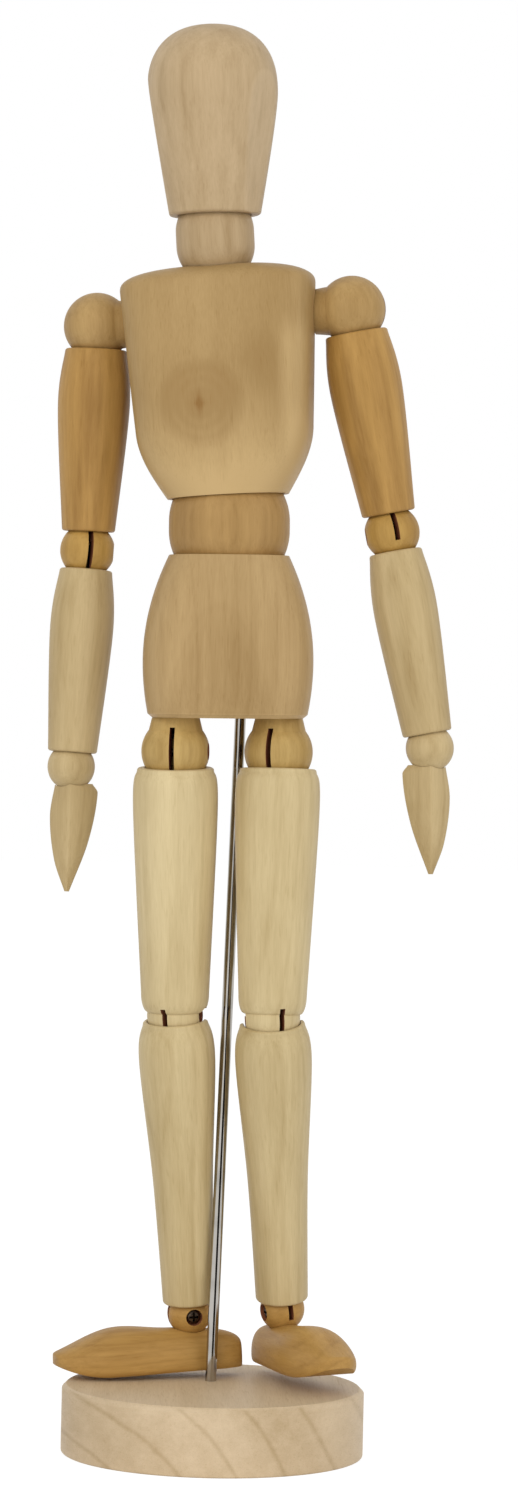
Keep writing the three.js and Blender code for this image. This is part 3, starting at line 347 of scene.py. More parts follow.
def trunk_frames():
    """Frames of the stand and trunk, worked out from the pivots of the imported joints."""
    right, left = (spot(f"{side}_hip_swivel") for side in ("right", "left"))
    rise = spot("neck_turn") - spot("waist_bend")
    return {
        "base": np.eye(4),
        "rod": local_frame(spot("figure_turn"), ("z", pivot("figure_turn")), ("x", (1, 0, 0))),
        "pelvis": local_frame((left + right) / 2, ("z", pivot("left_hip_swivel")), ("x", left - right)),
        "waist": local_frame(spot("waist_twist"), ("z", pivot("waist_twist")), ("x", pivot("waist_bend"))),
        "chest": local_frame(spot("waist_bend"), ("x", pivot("waist_bend")), ("z", rise)),
        "neck": local_frame(spot("neck_turn"), ("z", pivot("neck_turn")), ("x", pivot("head_nod"))),
        "head": local_frame(spot("head_nod"), ("x", pivot("head_nod")), ("z", pivot("neck_turn"))),
    }


def arm_frames(side, sign):
    """Frames of one arm: shoulder ball, upper arm, elbow with forearm, and hand, whose tip gives its lie."""
    joints = ("shoulder_lift", "elbow_bend", "wrist_bend")
    shoulder, elbow, wrist = (spot(f"{side}_{name}") for name in joints)
    lift = -sign * pivot(f"{side}_shoulder_lift")
    reach = node_points(f"{side}_hand") - wrist
    far = np.linalg.norm(reach, axis=1)
    tip = reach[far > far.max() - TIP_DEPTH].mean(axis=0)
    return {
        f"{side}_shoulder": local_frame(shoulder, ("x", -pivot(f"{side}_shoulder_swivel")), ("y", lift)),
        f"{side}_upper_arm": local_frame(shoulder, ("z", shoulder - elbow), ("y", lift)),
        f"{side}_elbow": local_frame(elbow, ("z", elbow - wrist), ("x", -pivot(f"{side}_elbow_bend"))),
        f"{side}_hand": local_frame(wrist, ("y", -sign * pivot(f"{side}_wrist_bend")), ("z", -tip)),
    }


def leg_frames(side, sign):
    """Frames of one leg: hip ball, thigh, knee hinge, shin, ankle ball and foot, whose sole gives its lie."""
    hip, knee, ankle = (spot(f"{side}_{name}") for name in ("hip_swing", "knee_bend", "ankle_bend"))
    swing = -pivot(f"{side}_hip_swing")
    hinge = pivot(f"{side}_knee_bend")
    nod = -pivot(f"{side}_ankle_bend")
    sole = sole_up(side)
    back = np.cross(sole, nod)
    return {
        f"{side}_hip": local_frame(hip, ("z", sign * pivot(f"{side}_hip_swivel")), ("x", swing)),
        f"{side}_thigh": local_frame(hip, ("z", hip - knee), ("x", swing)),
        f"{side}_knee": local_frame(knee, ("x", hinge), ("z", hip - knee)),
        f"{side}_shin": local_frame(knee, ("z", sign * pivot(f"{side}_shin_twist")), ("x", hinge)),
        f"{side}_ankle": local_frame(ankle, ("x", nod), ("y", back)),
        f"{side}_foot": local_frame(ankle, ("z", sole), ("y", back)),
    }


def resting_frames():
    """Every piece's own frame at rest."""
    found = trunk_frames()
    for side, sign in SIDES.items():
        found.update(arm_frames(side, sign))
        found.update(leg_frames(side, sign))
    return found


def apart(one, other):
    """Distance between the origins of two frames."""
    return float(np.linalg.norm(one[:3, 3] - other[:3, 3]))


# Surfaces


def curve(stops, count):
    """Points on an even Catmull-Rom curve through (place, value) stops, whose two ends count twice."""
    stops = np.asarray(stops, float)
    padded = np.vstack((stops[:1], stops, stops[-1:]))
    t = np.linspace(0, len(stops) - 1, count)
    at = np.minimum(t.astype(int), len(stops) - 2)
    t = (t - at)[:, None]
    before, start, end, after = (padded[at + step] for step in range(4))
    leave, arrive = (end - before) / 2, (after - start) / 2
    cubic = 2 * start - 2 * end + leave + arrive
    square = 3 * end - 3 * start - 2 * leave - arrive
    return cubic * t**3 + square * t**2 + leave * t + start


def level(stops, places):
    """Values on cubic pieces through (place, value) stops; a stop's slope is its neighbours'."""
    place, value = np.asarray(stops, float).T
    last = len(place) - 1
    before, after = np.maximum(np.arange(last + 1) - 1, 0), np.minimum(np.arange(last + 1) + 1, last)
    slope = (value[after] - value[before]) / (place[after] - place[before])
    left = np.clip(np.searchsorted(place, places, side="right") - 1, 0, last - 1)
    span = place[left + 1] - place[left]
    t = (places - place[left]) / span
    bend = t * t * (3 - 2 * t)
    lean = slope[left] * t * (1 - t) ** 2 - slope[left + 1] * t * t * (1 - t)
    return value[left] + (value[left + 1] - value[left]) * bend + lean * span


def arc(radius, height, bow, start, end, count):
    """Profile points (radius, height) on a circle of radius bow, from one angle to another in degrees."""
    turn = np.radians(np.linspace(start, end, count))
    return np.column_stack((radius + bow * np.cos(turn), height + bow * np.sin(turn)))


def revolve(profile, facets):
    """Rings of a turned form: each profile point (radius, height) carried once round the z axis."""
    turn = np.linspace(0, 2 * np.pi, facets, endpoint=False)
    radius, height = np.asarray(profile).T[:, :, None]
    return np.stack(np.broadcast_arrays(radius * np.cos(turn), radius * np.sin(turn), height), axis=-1)


def skin(rings, loop=False):
    """Points, quads and fans of stacked rings: the fans close ends that don't meet."""
    rows, columns = rings.shape[:2]
    index = np.arange(rows * columns).reshape(rows, columns)
    lower = index if loop else index[:-1]
    upper = np.roll(index, -1, axis=0) if loop else index[1:]
    quads = np.stack((lower, np.roll(lower, -1, 1), np.roll(upper, -1, 1), upper), axis=-1).reshape(-1, 4)
    points = rings.reshape(-1, 3)
    if loop:
        return points, quads, np.empty((0, 3), int)
    first, last = index[0], index[-1]
    start = np.full(columns, rows * columns)
    fans = np.vstack((
        np.stack((start, np.roll(first, -1), first), axis=-1),
        np.stack((start + 1, last, np.roll(last, -1)), axis=-1),
    ))
    return np.vstack((points, rings[0].mean(axis=0), rings[-1].mean(axis=0))), quads, fans


def solid(name, shape, where, material=None):
    """A mesh object of a closed shape, facing outwards, with its place in its mesh."""
    points, quads, fans = shape
    points = np.asarray(points) @ where[:3, :3].T + where[:3, 3]
    triangles = np.vstack((quads[:, (0, 1, 2)], quads[:, (0, 2, 3)], fans))
    corners = points[triangles] - points.mean(axis=0)
    if np.einsum("ij,ij->", corners[:, 0], np.cross(corners[:, 1], corners[:, 2])) < 0:
        quads, fans = quads[:, ::-1], fans[:, ::-1]
    mesh = bpy.data.meshes.new(name)
    mesh.from_pydata(points.tolist(), [], quads.tolist() + fans.tolist())
    mesh.materials.append(material)
    made = bpy.data.objects.new(name, mesh)
    bpy.context.scene.collection.objects.link(made)
    return made


def carve(piece, cutters):
    """Cuts closed forms out of a piece and clears them away; a cutter's material stays on its walls."""
    for cutter in cutters:
        cut = piece.modifiers.new(cutter.name, "BOOLEAN")
        cut.operation, cut.solver, cut.material_mode = "DIFFERENCE", "EXACT", "TRANSFER"
        cut.object = cutter
        if cutter.data.materials[0] is None:
            cutter.data.materials[0] = piece.data.materials[0]
    graph = bpy.context.evaluated_depsgraph_get()
    mesh = bpy.data.meshes.new_from_object(piece.evaluated_get(graph))
    piece.modifiers.clear()
    piece.data = mesh
    for cutter in cutters:
        bpy.data.objects.remove(cutter)
    return piece


def dress(piece, body, nodes, where, crease=38):
    """Smooth shading with crisp edges, the grain's own coordinates, and the body that carries the piece."""
    mesh = piece.data
    mesh.shade_smooth()
    mesh.set_sharp_from_angle(angle=math.radians(crease))
    points = np.empty(3 * len(mesh.vertices))
    mesh.vertices.foreach_get("co", points)
    chance = np.random.default_rng(sum(map(ord, piece.name)))
    own = (points.reshape(-1, 3) - where[:3, 3]) @ where[:3, :3]
    board = own + chance.uniform(-0.5, 0.5, 3)
    mesh.attributes.new("own", "FLOAT_VECTOR", "POINT").data.foreach_set("vector", own.ravel())
    mesh.attributes.new("grain", "FLOAT_VECTOR", "POINT").data.foreach_set("vector", board.ravel())
    tone = np.full(len(mesh.vertices), chance.uniform(-0.5, 0.5))
    mesh.attributes.new("tone", "FLOAT", "POINT").data.foreach_set("value", tone)
    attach(piece, body)
    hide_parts(*nodes)


# Finishes


class Value:
    """A node's output that adds, multiplies and compares like a number."""

    def __init__(self, sheet, socket):
        self.sheet, self.socket = sheet, socket

    def sum(self, operation, first, second=0.0, third=0.0):
        return self.sheet.node("ShaderNodeMath", {"operation": operation}, {0: first, 1: second, 2: third})

    def __add__(self, other):
        return self.sum("ADD", self, other)

    def __sub__(self, other):
        return self.sum("SUBTRACT", self, other)

    def __rsub__(self, other):
        return self.sum("SUBTRACT", other, self)

    def __mul__(self, other):
        return self.sum("MULTIPLY", self, other)

    def __truediv__(self, other):
        return self.sum("DIVIDE", self, other)

    def __pow__(self, other):
        return self.sum("POWER", self, other)

    __radd__ = __add__
    __rmul__ = __mul__

    def sine(self):
        return self.sum("SINE", self)

    def size(self):
        return self.sum("ABSOLUTE", self)

    def most(self, other):
        return self.sum("MAXIMUM", self, other)

    def between(self, low, high):
        """0 below low, 1 above high, smooth in between."""
        ranges = {"From Min": low, "From Max": high, "To Min": 0.0, "To Max": 1.0, "Value": self}
        return self.sheet.node("ShaderNodeMapRange", {"interpolation_type": "SMOOTHSTEP"}, ranges)


class Sheet:
    """The nodes of a material or of the world, with one method that makes any of them."""

    def __init__(self, name, store=None):
        self.material = (bpy.data.materials if store is None else store).new(name)
        self.material.use_nodes = True
        self.tree = self.material.node_tree
        self.tree.nodes.clear()

    def node(self, kind, choices=None, sockets=None, output=0):
        """Adds a node: its settings, then the values or links of its sockets; gives one of its outputs."""
        made = self.tree.nodes.new(kind)
        for key, choice in (choices or {}).items():
            setattr(made, key, choice)
        for key, value in (sockets or {}).items():
            if isinstance(value, Value):
                self.tree.links.new(value.socket, made.inputs[key])
            else:
                made.inputs[key].default_value = value
        return Value(self, made.outputs[output])

    def attribute(self, name, output):
        return self.node("ShaderNodeAttribute", {"attribute_name": name}, output=output)

    def scaled(self, vector, factors):
        """The vector with each of its parts multiplied."""
        return self.node("ShaderNodeVectorMath", {"operation": "MULTIPLY"}, {0: vector, 1: factors})

    def parts(self, vector):
        """The x, y and z parts of a vector."""
        return [self.node("ShaderNodeSeparateXYZ", None, {0: vector}, output) for output in range(3)]

    def noise(self, vector, scale, detail=2.0, roughness=0.5):
        wanted = {"Vector": vector, "Scale": scale, "Detail": detail, "Roughness": roughness}
        return self.node("ShaderNodeTexNoise", None, wanted)

    def mixed(self, factor, first, second):
        """Two colours mixed by a factor."""
        choices = {"data_type": "RGBA", "blend_type": "MIX", "clamp_factor": True}
        return self.node("ShaderNodeMix", choices, {0: factor, 6: first, 7: second}, 2)

    def bump(self, height, strength, distance):
        wanted = {"Height": height, "Strength": strength, "Distance": distance}
        return self.node("ShaderNodeBump", None, wanted)

    def seen(self):
        """1 for rays from the camera, in reflections and through glass, 0 for rays that carry light about."""
        kinds = ("Camera", "Glossy", "Transmission")
        rays = [self.node("ShaderNodeLightPath", output=f"Is {kind} Ray") for kind in kinds]
        return rays[0].most(rays[1]).most(rays[2])

    def close(self, shader, kind="ShaderNodeOutputMaterial"):
        """Ends the nodes with a shader."""
        self.tree.links.new(shader.socket, self.tree.nodes.new(kind).inputs["Surface"])

    def surface(self, **sockets):
        """Ends the material with a Principled shader on the given sockets."""
        wanted = {key.replace("_", " ").title().replace("Ior", "IOR"): part for key, part in sockets.items()}
        self.close(self.node("ShaderNodeBsdfPrincipled", None, wanted))
        return self.material


def tinted(shade, red, green, blue):
    """A colour with each of its parts multiplied, and full alpha."""
    return (*(min(part * factor, 1.0) for part, factor in zip(shade, (red, green, blue))), 1.0)


def plain_figure(x, y, z, sway):
    """Nothing but a slow drift of tone along the piece."""
    return sway * 0.3


def head_figure_and_cheek_light(x, y, z, sway):
    """Painted highlight on the two sanded cheeks, drawn a little paler than the turned wood, and a slow drift
    of tone.
    """
    trunk = settings()[0]
    turn, lean = trunk.cheek_angle, trunk.cheek_tilt
    across = x.size() * math.sin(turn) - y * math.cos(turn)
    proud = across - z * math.tan(lean) - trunk.cheek_distance / math.cos(lean)
    # Painted highlight: the cheek facets are drawn paler.
    return sway * 0.5 - proud.between(-0.35 * MM, -0.05 * MM) * 0.3


def chest_figure_and_painted_light(x, y, z, sway):
    """A ring patch with a dark upright eye, a smudge beside it, a painted highlight in an upright strip
    beside the front's edge, and painted light from below that makes the lower chest paler.
    """
    side, up = (x + 2.6 * MM) / (8.6 * MM), (z - 24.6 * MM) / (8.8 * MM)
    out = (side * side + up * up + 1e-6) ** 0.5 + sway * 0.35
    patch = (1 - out.between(0.8, 1.1)) * 0.2 + (1 - (out - 1.0).size().between(0.0, 0.2)) * 0.1
    rings = ((out * 24.0).sine() * 0.5 + 0.5) * (1 - out.between(0.8, 1.2)) * 0.08
    eye = (1 - (side.size() * 6.0 + up.size() * 2.4).between(0.0, 1.1)) * 0.75
    halo = (1 - (side.size() * 2.6 + up.size() * 1.6).between(0.1, 1.0)) * 0.3
    over, rise = (x - 10.5 * MM) / (5.5 * MM), (z - 33.0 * MM) / (8.0 * MM)
    smudge = (1 - ((over * over + rise * rise) ** 0.5 + sway * 0.5).between(0.0, 1.1)) * 0.25
    # Painted highlight: an upright strip near the front's edge is drawn paler.
    painted_flank_highlight = x.between(13.5 * MM, 16.5 * MM) * z.between(8 * MM, 16 * MM)
    painted_flank_highlight = painted_flank_highlight * (1 - z.between(36 * MM, 44 * MM)) * 0.5
    front = 1 - y.between(-6 * MM, 0.0)
    # Painted light from below: the chest is drawn paler towards the bottom.
    return (patch + rings + eye + halo + smudge - painted_flank_highlight) * front + (z.between(4 * MM, 28 * MM) - 0.7) * 0.9


def pelvis_figure_and_bevel_light(x, y, z, sway):
    """A tall arch of deeper wood on the front, a faint line along its edge, and painted light from below on
    the lower bevel, drawn paler.
    """
    side = (x + 2.0 * MM) / (12.0 * MM)
    inside = (31.5 * MM - side * side * (24.0 * MM) - z) / (1.0 * MM) + sway * 6.0
    front = 1 - y.between(-6 * MM, 0.0)
    line = (1 - (inside - 0.5).size().between(0.2, 1.8)) * 0.06
    # Painted light from below: the lower bevel is drawn paler.
    bevel = (1 - z.between(7.6 * MM, 8.4 * MM)) * 0.5
    return (inside.between(-4.0, 9.0) * 0.26 + line - 0.12) * front - bevel


def base_figure(x, y, z, sway):
    """Slanting growth lines and bands about a pith below and left of the disc, on its side only."""
    over, into = x + 39.0 * MM, y - 25.0 * MM
    away = ((over * over + into * into) ** 0.5 + sway * 0.003) / (9.5 * MM)
    lines = ((away * (2 * math.pi)).sine() * 0.5 + 0.5) ** 36.0 * 0.36
    bands = (away * 2.1).sine() * 0.16
    return (lines + bands) * y.between(-14.4 * MM, -13.9 * MM)


def wood(name, mid, streak=1.0, figure=plain_figure, flat=False, pith=(9.0, 14.0), gap=3.2, lines=0.14):
    """Waxed pale hardwood with its grain along z or, for a piece cut flat, along y.

    The mix from pale to deep wood is a half plus soft streaks, finer streaks and fibres, all stretched
    along the grain, slow blotches, short pores, the piece's own tone and its figure; on the head, chest
    and pelvis the figure also holds painted light. Thin growth lines are the peaks of a sine of the
    distance from a pith beside the piece. Past one, the mix goes on from deep to dark wood.
    """
    sheet = Sheet(name)
    board, own = (sheet.attribute(kind, "Vector") for kind in ("grain", "own"))
    if flat:
        turn = (math.pi / 2, 0, 0)
        board, own = (sheet.node("ShaderNodeMapping", None, {0: place, 2: turn}) for place in (board, own))
    x, y, z = sheet.parts(own)
    sway = sheet.noise(sheet.scaled(board, (1, 1, 0.3)), 45.0) - 0.5
    soft = sheet.noise(sheet.scaled(board, (1, 1, 0.05)), 300.0) - 0.5
    fine = sheet.noise(sheet.scaled(board, (1, 1, 0.04)), 1100.0) - 0.5
    fibre = sheet.noise(sheet.scaled(board, (1, 1, 0.05)), 4200.0) - 0.5
    blotch = sheet.noise(sheet.scaled(board, (1, 1, 0.45)), 70.0) - 0.5
    pore = sheet.noise(sheet.scaled(board, (1, 1, 0.08)), 3000.0, 0.0).between(0.66, 0.76)
    over, into = x - pith[0] * MM, y - pith[1] * MM
    away = (over * over + into * into) ** 0.5 + sway * 0.004
    line = ((away * (2 * math.pi / (gap * MM))).sine() * 0.5 + 0.5) ** 9.0 * lines
    depth = 0.5 + (soft * 1.1 + fine * 0.6) * streak + fibre * 0.4 + blotch * 0.7 + pore * 0.12
    depth = depth + line * (1 + soft * 2.0) + sheet.attribute("tone", "Fac") * 0.25 + figure(x, y, z, sway)
    shade = sheet.mixed(depth, tinted(mid, 1.22, 1.26, 1.36), tinted(mid, 0.79, 0.745, 0.66))
    shade = sheet.mixed(depth - 1, shade, tinted(mid, 0.58, 0.45, 0.26))
    grain = sheet.bump(fibre * 0.6 + fine * 0.4 - pore * 0.5, 0.12, 0.0002)
    rough = 0.5 + fibre * 0.16 + pore * 0.1
    return sheet.surface(base_color=shade, roughness=rough, normal=grain, specular_ior_level=0.4)


def sawn(name, shade):
    """Wood on the walls of saw slots and drilled holes, drawn dark as painted shade: rough, with fine ragged
    lines.
    """
    sheet = Sheet(name)
    rough = sheet.noise(sheet.scaled(sheet.attribute("grain", "Vector"), (1, 1, 0.2)), 2200.0)
    tone = sheet.mixed(rough.between(0.35, 0.7), tinted(shade, 1, 1, 1), tinted(shade, 1.4, 1.35, 1.3))
    ragged = sheet.bump(rough, 0.3, 0.0002)
    return sheet.surface(base_color=tone, roughness=0.85, normal=ragged, specular_ior_level=0.2)


def steel(name, shade, rough, drawn=(1, 1, 0.02)):
    """Steel with fine lines along the work and a little tarnish in colour and roughness."""
    sheet = Sheet(name)
    place = sheet.node("ShaderNodeTexCoord", output="Object")
    line = sheet.noise(sheet.scaled(place, drawn), 5200.0)
    stain = sheet.noise(place, 160.0, 3.0)
    dull = rough + (line - 0.5) * 0.1 + (stain - 0.5) * 0.08
    tint = sheet.mixed(stain.between(0.45, 0.75), tinted(shade, 1, 1, 1), tinted(shade, 0.8, 0.8, 0.8))
    lines = sheet.bump(line, 0.05, 0.00005)
    return sheet.surface(base_color=tint, metallic=1.0, roughness=dull, normal=lines)


WOODS = {}


def finishes():
    """Makes each finish once and keeps it by name."""
    if WOODS:
        return WOODS
    look = settings()[3]
    # The head, chest and pelvis figures also paint light: paler cheeks, a paler strip on the chest's front, a
    # paler lower chest and a paler pelvis bevel.
    WOODS["head"] = wood("Head wood", look.head, 0.8, head_figure_and_cheek_light, pith=(-18, 10), gap=4.5)
    WOODS["chest"] = wood("Chest wood", look.chest, 0.35, chest_figure_and_painted_light, pith=(16, 15), gap=5.0, lines=0.04)
    WOODS["waist"] = wood("Waist wood", look.waist, 1.1)
    WOODS["pelvis"] = wood("Pelvis wood", look.pelvis, 0.6, pelvis_figure_and_bevel_light, pith=(24, 6), gap=2.4, lines=0.1)
    WOODS["shoulder"] = wood("Shoulder wood", look.shoulder, 1.0)
    WOODS["arm"] = wood("Upper arm wood", look.arm, 1.6, pith=(-11, 12), gap=3.4)
    WOODS["elbow"] = wood("Elbow wood", look.elbow, 1.2)
    WOODS["hip"] = wood("Hip wood", look.hip, 1.1)
    WOODS["forearm"] = wood("Forearm wood", look.forearm, 0.8)
    WOODS["leg"] = wood("Leg wood", look.leg, 0.7)
    WOODS["foot"] = wood("Foot wood", look.foot, 1.2, flat=True, pith=(6, 22), gap=2.4, lines=0.2)
    WOODS["base"] = wood("Base wood", look.base, 0.5, base_figure, flat=True, lines=0.0)
    # Painted shade for the walls of slots and holes.
    WOODS["sawn"] = sawn("Sawn wood", look.sawn)
    WOODS["rod"] = steel("Rod steel", look.steel, 0.08)
    WOODS["screw"] = steel("Screw steel", look.screw, 0.4, (1, 1, 1))
    WOODS["spring"] = steel("Spring steel", look.spring, 0.5, (1, 1, 1))
    return WOODS


# Turned pieces


def cup_arc(radius, rim, bore, count=12):
    """Angles on a cup's sphere, from its rim down to the spring bore."""
    return np.linspace(math.asin(rim / radius), math.acos(min(bore / radius, 1.0)), count)


def lip(radius, cup, rim, limit):
    """Rounding of a lip: the usual one, or less where the wall between cup and skin is thin."""
    return min(limit, 0.8 * (radius - math.sqrt(cup * cup - rim * rim)))


def limb_rings(limbs, facets, full_length, top, end, stops):
    """Rings of a turned limb with a cup at both ends and a spring bore: a closed profile round the axis.

    The profile runs down the skin, which is a smooth curve through the stops, round the lower lip, up the
    lower cup, the bore and the upper cup, and round the upper lip. Top and end are (radius, rim distance,
    ball radius).
    """
    (top_radius, top_rim, top_ball), (end_radius, end_rim, end_ball) = top, end
    top_cup, end_cup = top_ball + limbs.fit, end_ball + limbs.fit
    top_lip = lip(top_radius, top_cup, top_rim, limbs.edge_round)
    end_lip = lip(end_radius, end_cup, end_rim, limbs.edge_round)
    low = full_length - end_rim
    shape = curve([(top_rim + top_lip, top_radius), *stops, (low - end_lip, end_radius)], SKIN_STEPS)[1:-1]
    upper = cup_arc(top_cup, top_rim, limbs.spring_bore)[::-1]
    lower = cup_arc(end_cup, end_rim, limbs.spring_bore)
    profile = np.vstack((
        arc(top_radius - top_lip, -top_rim - top_lip, top_lip, 90, 0, LIP_STEPS),
        shape[:, ::-1] * (1, -1),
        arc(end_radius - end_lip, -low + end_lip, end_lip, 0, -90, LIP_STEPS),
        np.column_stack((end_cup * np.cos(lower), end_cup * np.sin(lower) - full_length)),
        np.column_stack((top_cup * np.cos(upper), -top_cup * np.sin(upper))),
    ))
    return skin(revolve(profile, facets), loop=True)


def ball_rings(radius, facets, top=POLE, neck=()):
    """Rings of a ball: an arc from its lower pole to a latitude, then neck points, carried round z."""
    profile = arc(0, 0, radius, -POLE, top, 64)
    return skin(revolve(np.vstack((profile, *neck)), facets))


def barrel_rings(radius, straight, flat, facets):
    """Rings of a barrel: two spherical zones about centres a straight length apart, with flat ends."""
    end = math.degrees(math.asin(flat / radius))
    lower, upper = arc(0, -straight / 2, radius, -end, 0, 24), arc(0, straight / 2, radius, 0, end, 24)
    return skin(revolve(np.vstack((lower, upper)), facets))


def box_shape(low, high):
    """The eight corners and six faces of an upright box between two corners."""
    corners = np.array(np.meshgrid(*zip(low, high), indexing="ij")).reshape(3, -1).T
    faces = np.array(((0, 1, 3, 2), (4, 6, 7, 5), (0, 4, 5, 1), (2, 3, 7, 6), (0, 2, 6, 4), (1, 5, 7, 3)))
    return corners, faces, np.empty((0, 3), int)


def cup(radius, where, hole=0.0, reach=0.0):
    """A ball-shaped cutter, with a hole on from its upper pole if wanted, that leaves the piece's finish."""
    if not hole:
        return solid("cup", ball_rings(radius, CUP_FACETS), where)
    latitude = math.degrees(math.acos(hole / radius))
    return solid("cup", ball_rings(radius, CUP_FACETS, latitude, ([(hole, reach)],)), where)


def bore(radius, low, high, where, material=None):
    """A round cutter along z between two heights."""
    return solid("bore", skin(revolve([(radius, low), (radius, high)], HOLE_FACETS)), where, material)


def slot(limbs, where, radius, past, across, opens, offset=0.0, skew=0.0):
    """The saw's path through a ball: a thin box square to x or y, from one pole to past the middle."""
    half = limbs.slot_width / 2
    low, high = np.full(3, -radius - MM), np.full(3, radius + MM)
    low[across], high[across] = offset - half, offset + half
    if opens > 0:
        low[2] = -past
    else:
        high[2] = past
    # The slot's walls take the sawn finish, which is painted shade.
    return solid("slot", box_shape(low, high), where @ spin(math.degrees(skew)), finishes()["sawn"])


def screw_hole(limbs, tools, where, radius, turn):
    """The stepped hole of a pivot screw through a ball: counterbore, shank bore, blind end."""
    head, shank = tools.screw_head + limbs.fit, tools.screw_shank + limbs.fit
    tip = tools.screw_cover - radius - limbs.fit
    floor = radius - tools.screw_sink - tools.screw_head_height - limbs.fit
    top = radius + MM
    profile = [(AXIS, tip), (shank, tip), (shank, floor), (head, floor), (head, top), (AXIS, top)]
    rings = skin(revolve(profile, HOLE_FACETS))
    # The hole's walls take the sawn finish, which is painted shade.
    return solid("hole", rings, where @ spin(turn) @ spin(90, "Y"), finishes()["sawn"])


def pin_hole(limbs, tools, where, height):
    """The hole at the back of a block for the pin that anchors a spring."""
    wide = tools.screw_shank + limbs.fit
    # The pin hole's walls take the sawn finish, which is painted shade.
    return bore(wide, 0.0, PIN_DEPTH, shifted(where, z=height) @ spin(-90, "X"), finishes()["sawn"])


def screw_turn(sign):
    """Turn of a limb's pivot screw about z, so that its head faces the other limb."""
    return 180 if sign > 0 else 0


# Carved pieces


def superellipse(half_width, half_depth, power, facets):
    """Outline |x/a|^n + |y/b|^n = 1 at even turns, for arrays of a, b and n."""
    turn = np.linspace(0, 2 * np.pi, facets, endpoint=False)
    cos, sin = np.cos(turn), np.sin(turn)
    sizes = np.broadcast_arrays(half_width, half_depth, power)
    half_width, half_depth, power = (part[:, None] for part in sizes)
    scale = (np.abs(cos) ** power + np.abs(sin) ** power) ** (-1 / power)
    return np.stack((half_width * scale * cos, half_depth * scale * sin), axis=-1)


def stacked(outlines, heights):
    """Rings from flat outlines, each at its height."""
    heights = np.broadcast_to(heights[:, None], outlines.shape[:2])
    return skin(np.concatenate((outlines, heights[..., None]), axis=-1))


def chest_rings(trunk, facets):
    """Rings of the chest block: superellipse outlines that widen to the corners, under a low crown.

    The half-width rises on a quarter sine to the ribs and straight to the corners, and the depth swells at
    the ribs. Above the corners each ring shrinks while its height follows a superellipse, as on a low
    cushion.
    """
    bottom, rib, corner = trunk.chest_bottom, trunk.chest_rib, trunk.chest_corner
    height = np.linspace(bottom, corner, 80)
    rise = np.clip((height - bottom) / (rib - bottom), 0, 1)
    swell = (trunk.chest_rib_width - trunk.chest_bottom_width) * np.sin(np.pi / 2 * rise)
    width = trunk.chest_bottom_width + swell
    over = np.clip((height - rib) / (corner - rib), 0, 1)
    width = width + (trunk.chest_top_width - trunk.chest_rib_width) * over
    depths = (
        (bottom, trunk.chest_bottom_depth),
        (trunk.chest_deepest, trunk.chest_rib_depth),
        (corner, trunk.chest_top_depth),
    )
    depth = level(depths, height)
    power = trunk.chest_bottom_squareness + (trunk.chest_squareness - trunk.chest_bottom_squareness) * rise
    shrink = np.cos(np.linspace(0, np.pi / 2, 48))[1:-1]
    crown = (1 - shrink**trunk.chest_crown_power) ** (1 / trunk.chest_crown_power)
    width = np.concatenate((width, shrink * trunk.chest_top_width))
    depth = np.concatenate((depth, shrink * trunk.chest_top_depth))
    power = np.concatenate((power, np.full(len(shrink), trunk.chest_squareness)))
    height = np.concatenate((height, corner + (trunk.chest_top - corner) * crown))
    return stacked(superellipse(width / 2, depth / 2, power, facets), height)


def pelvis_rings(trunk, facets):
    """Rings of the pelvis block: superellipse outlines with an eased lower edge.

    Each half-size follows one parabola from the widest level up to the top and another down to the underside.
    """
    low, full, high = trunk.pelvis_bottom, trunk.pelvis_widest, trunk.pelvis_top
    eased = low + trunk.pelvis_bevel
    height = np.concatenate((np.linspace(low, eased, 4), np.linspace(eased, high, 64)[1:]))
    up = np.clip((height - full) / (high - full), 0, 1) ** 2
    down = np.clip((full - height) / (full - low), 0, 1) ** 2
    width, depth = (
        widest + (top - widest) * up + (bottom - widest) * down
        for bottom, widest, top in (
            (trunk.pelvis_bottom_width, trunk.pelvis_full_width, trunk.pelvis_top_width),
            (trunk.pelvis_bottom_depth, trunk.pelvis_full_depth, trunk.pelvis_top_depth),
        )
    )
    inset = np.clip(trunk.pelvis_bevel - (height - low), 0, None)
    outlines = superellipse(width / 2 - inset, depth / 2 - inset, trunk.pelvis_squareness, facets)
    return stacked(outlines, height)


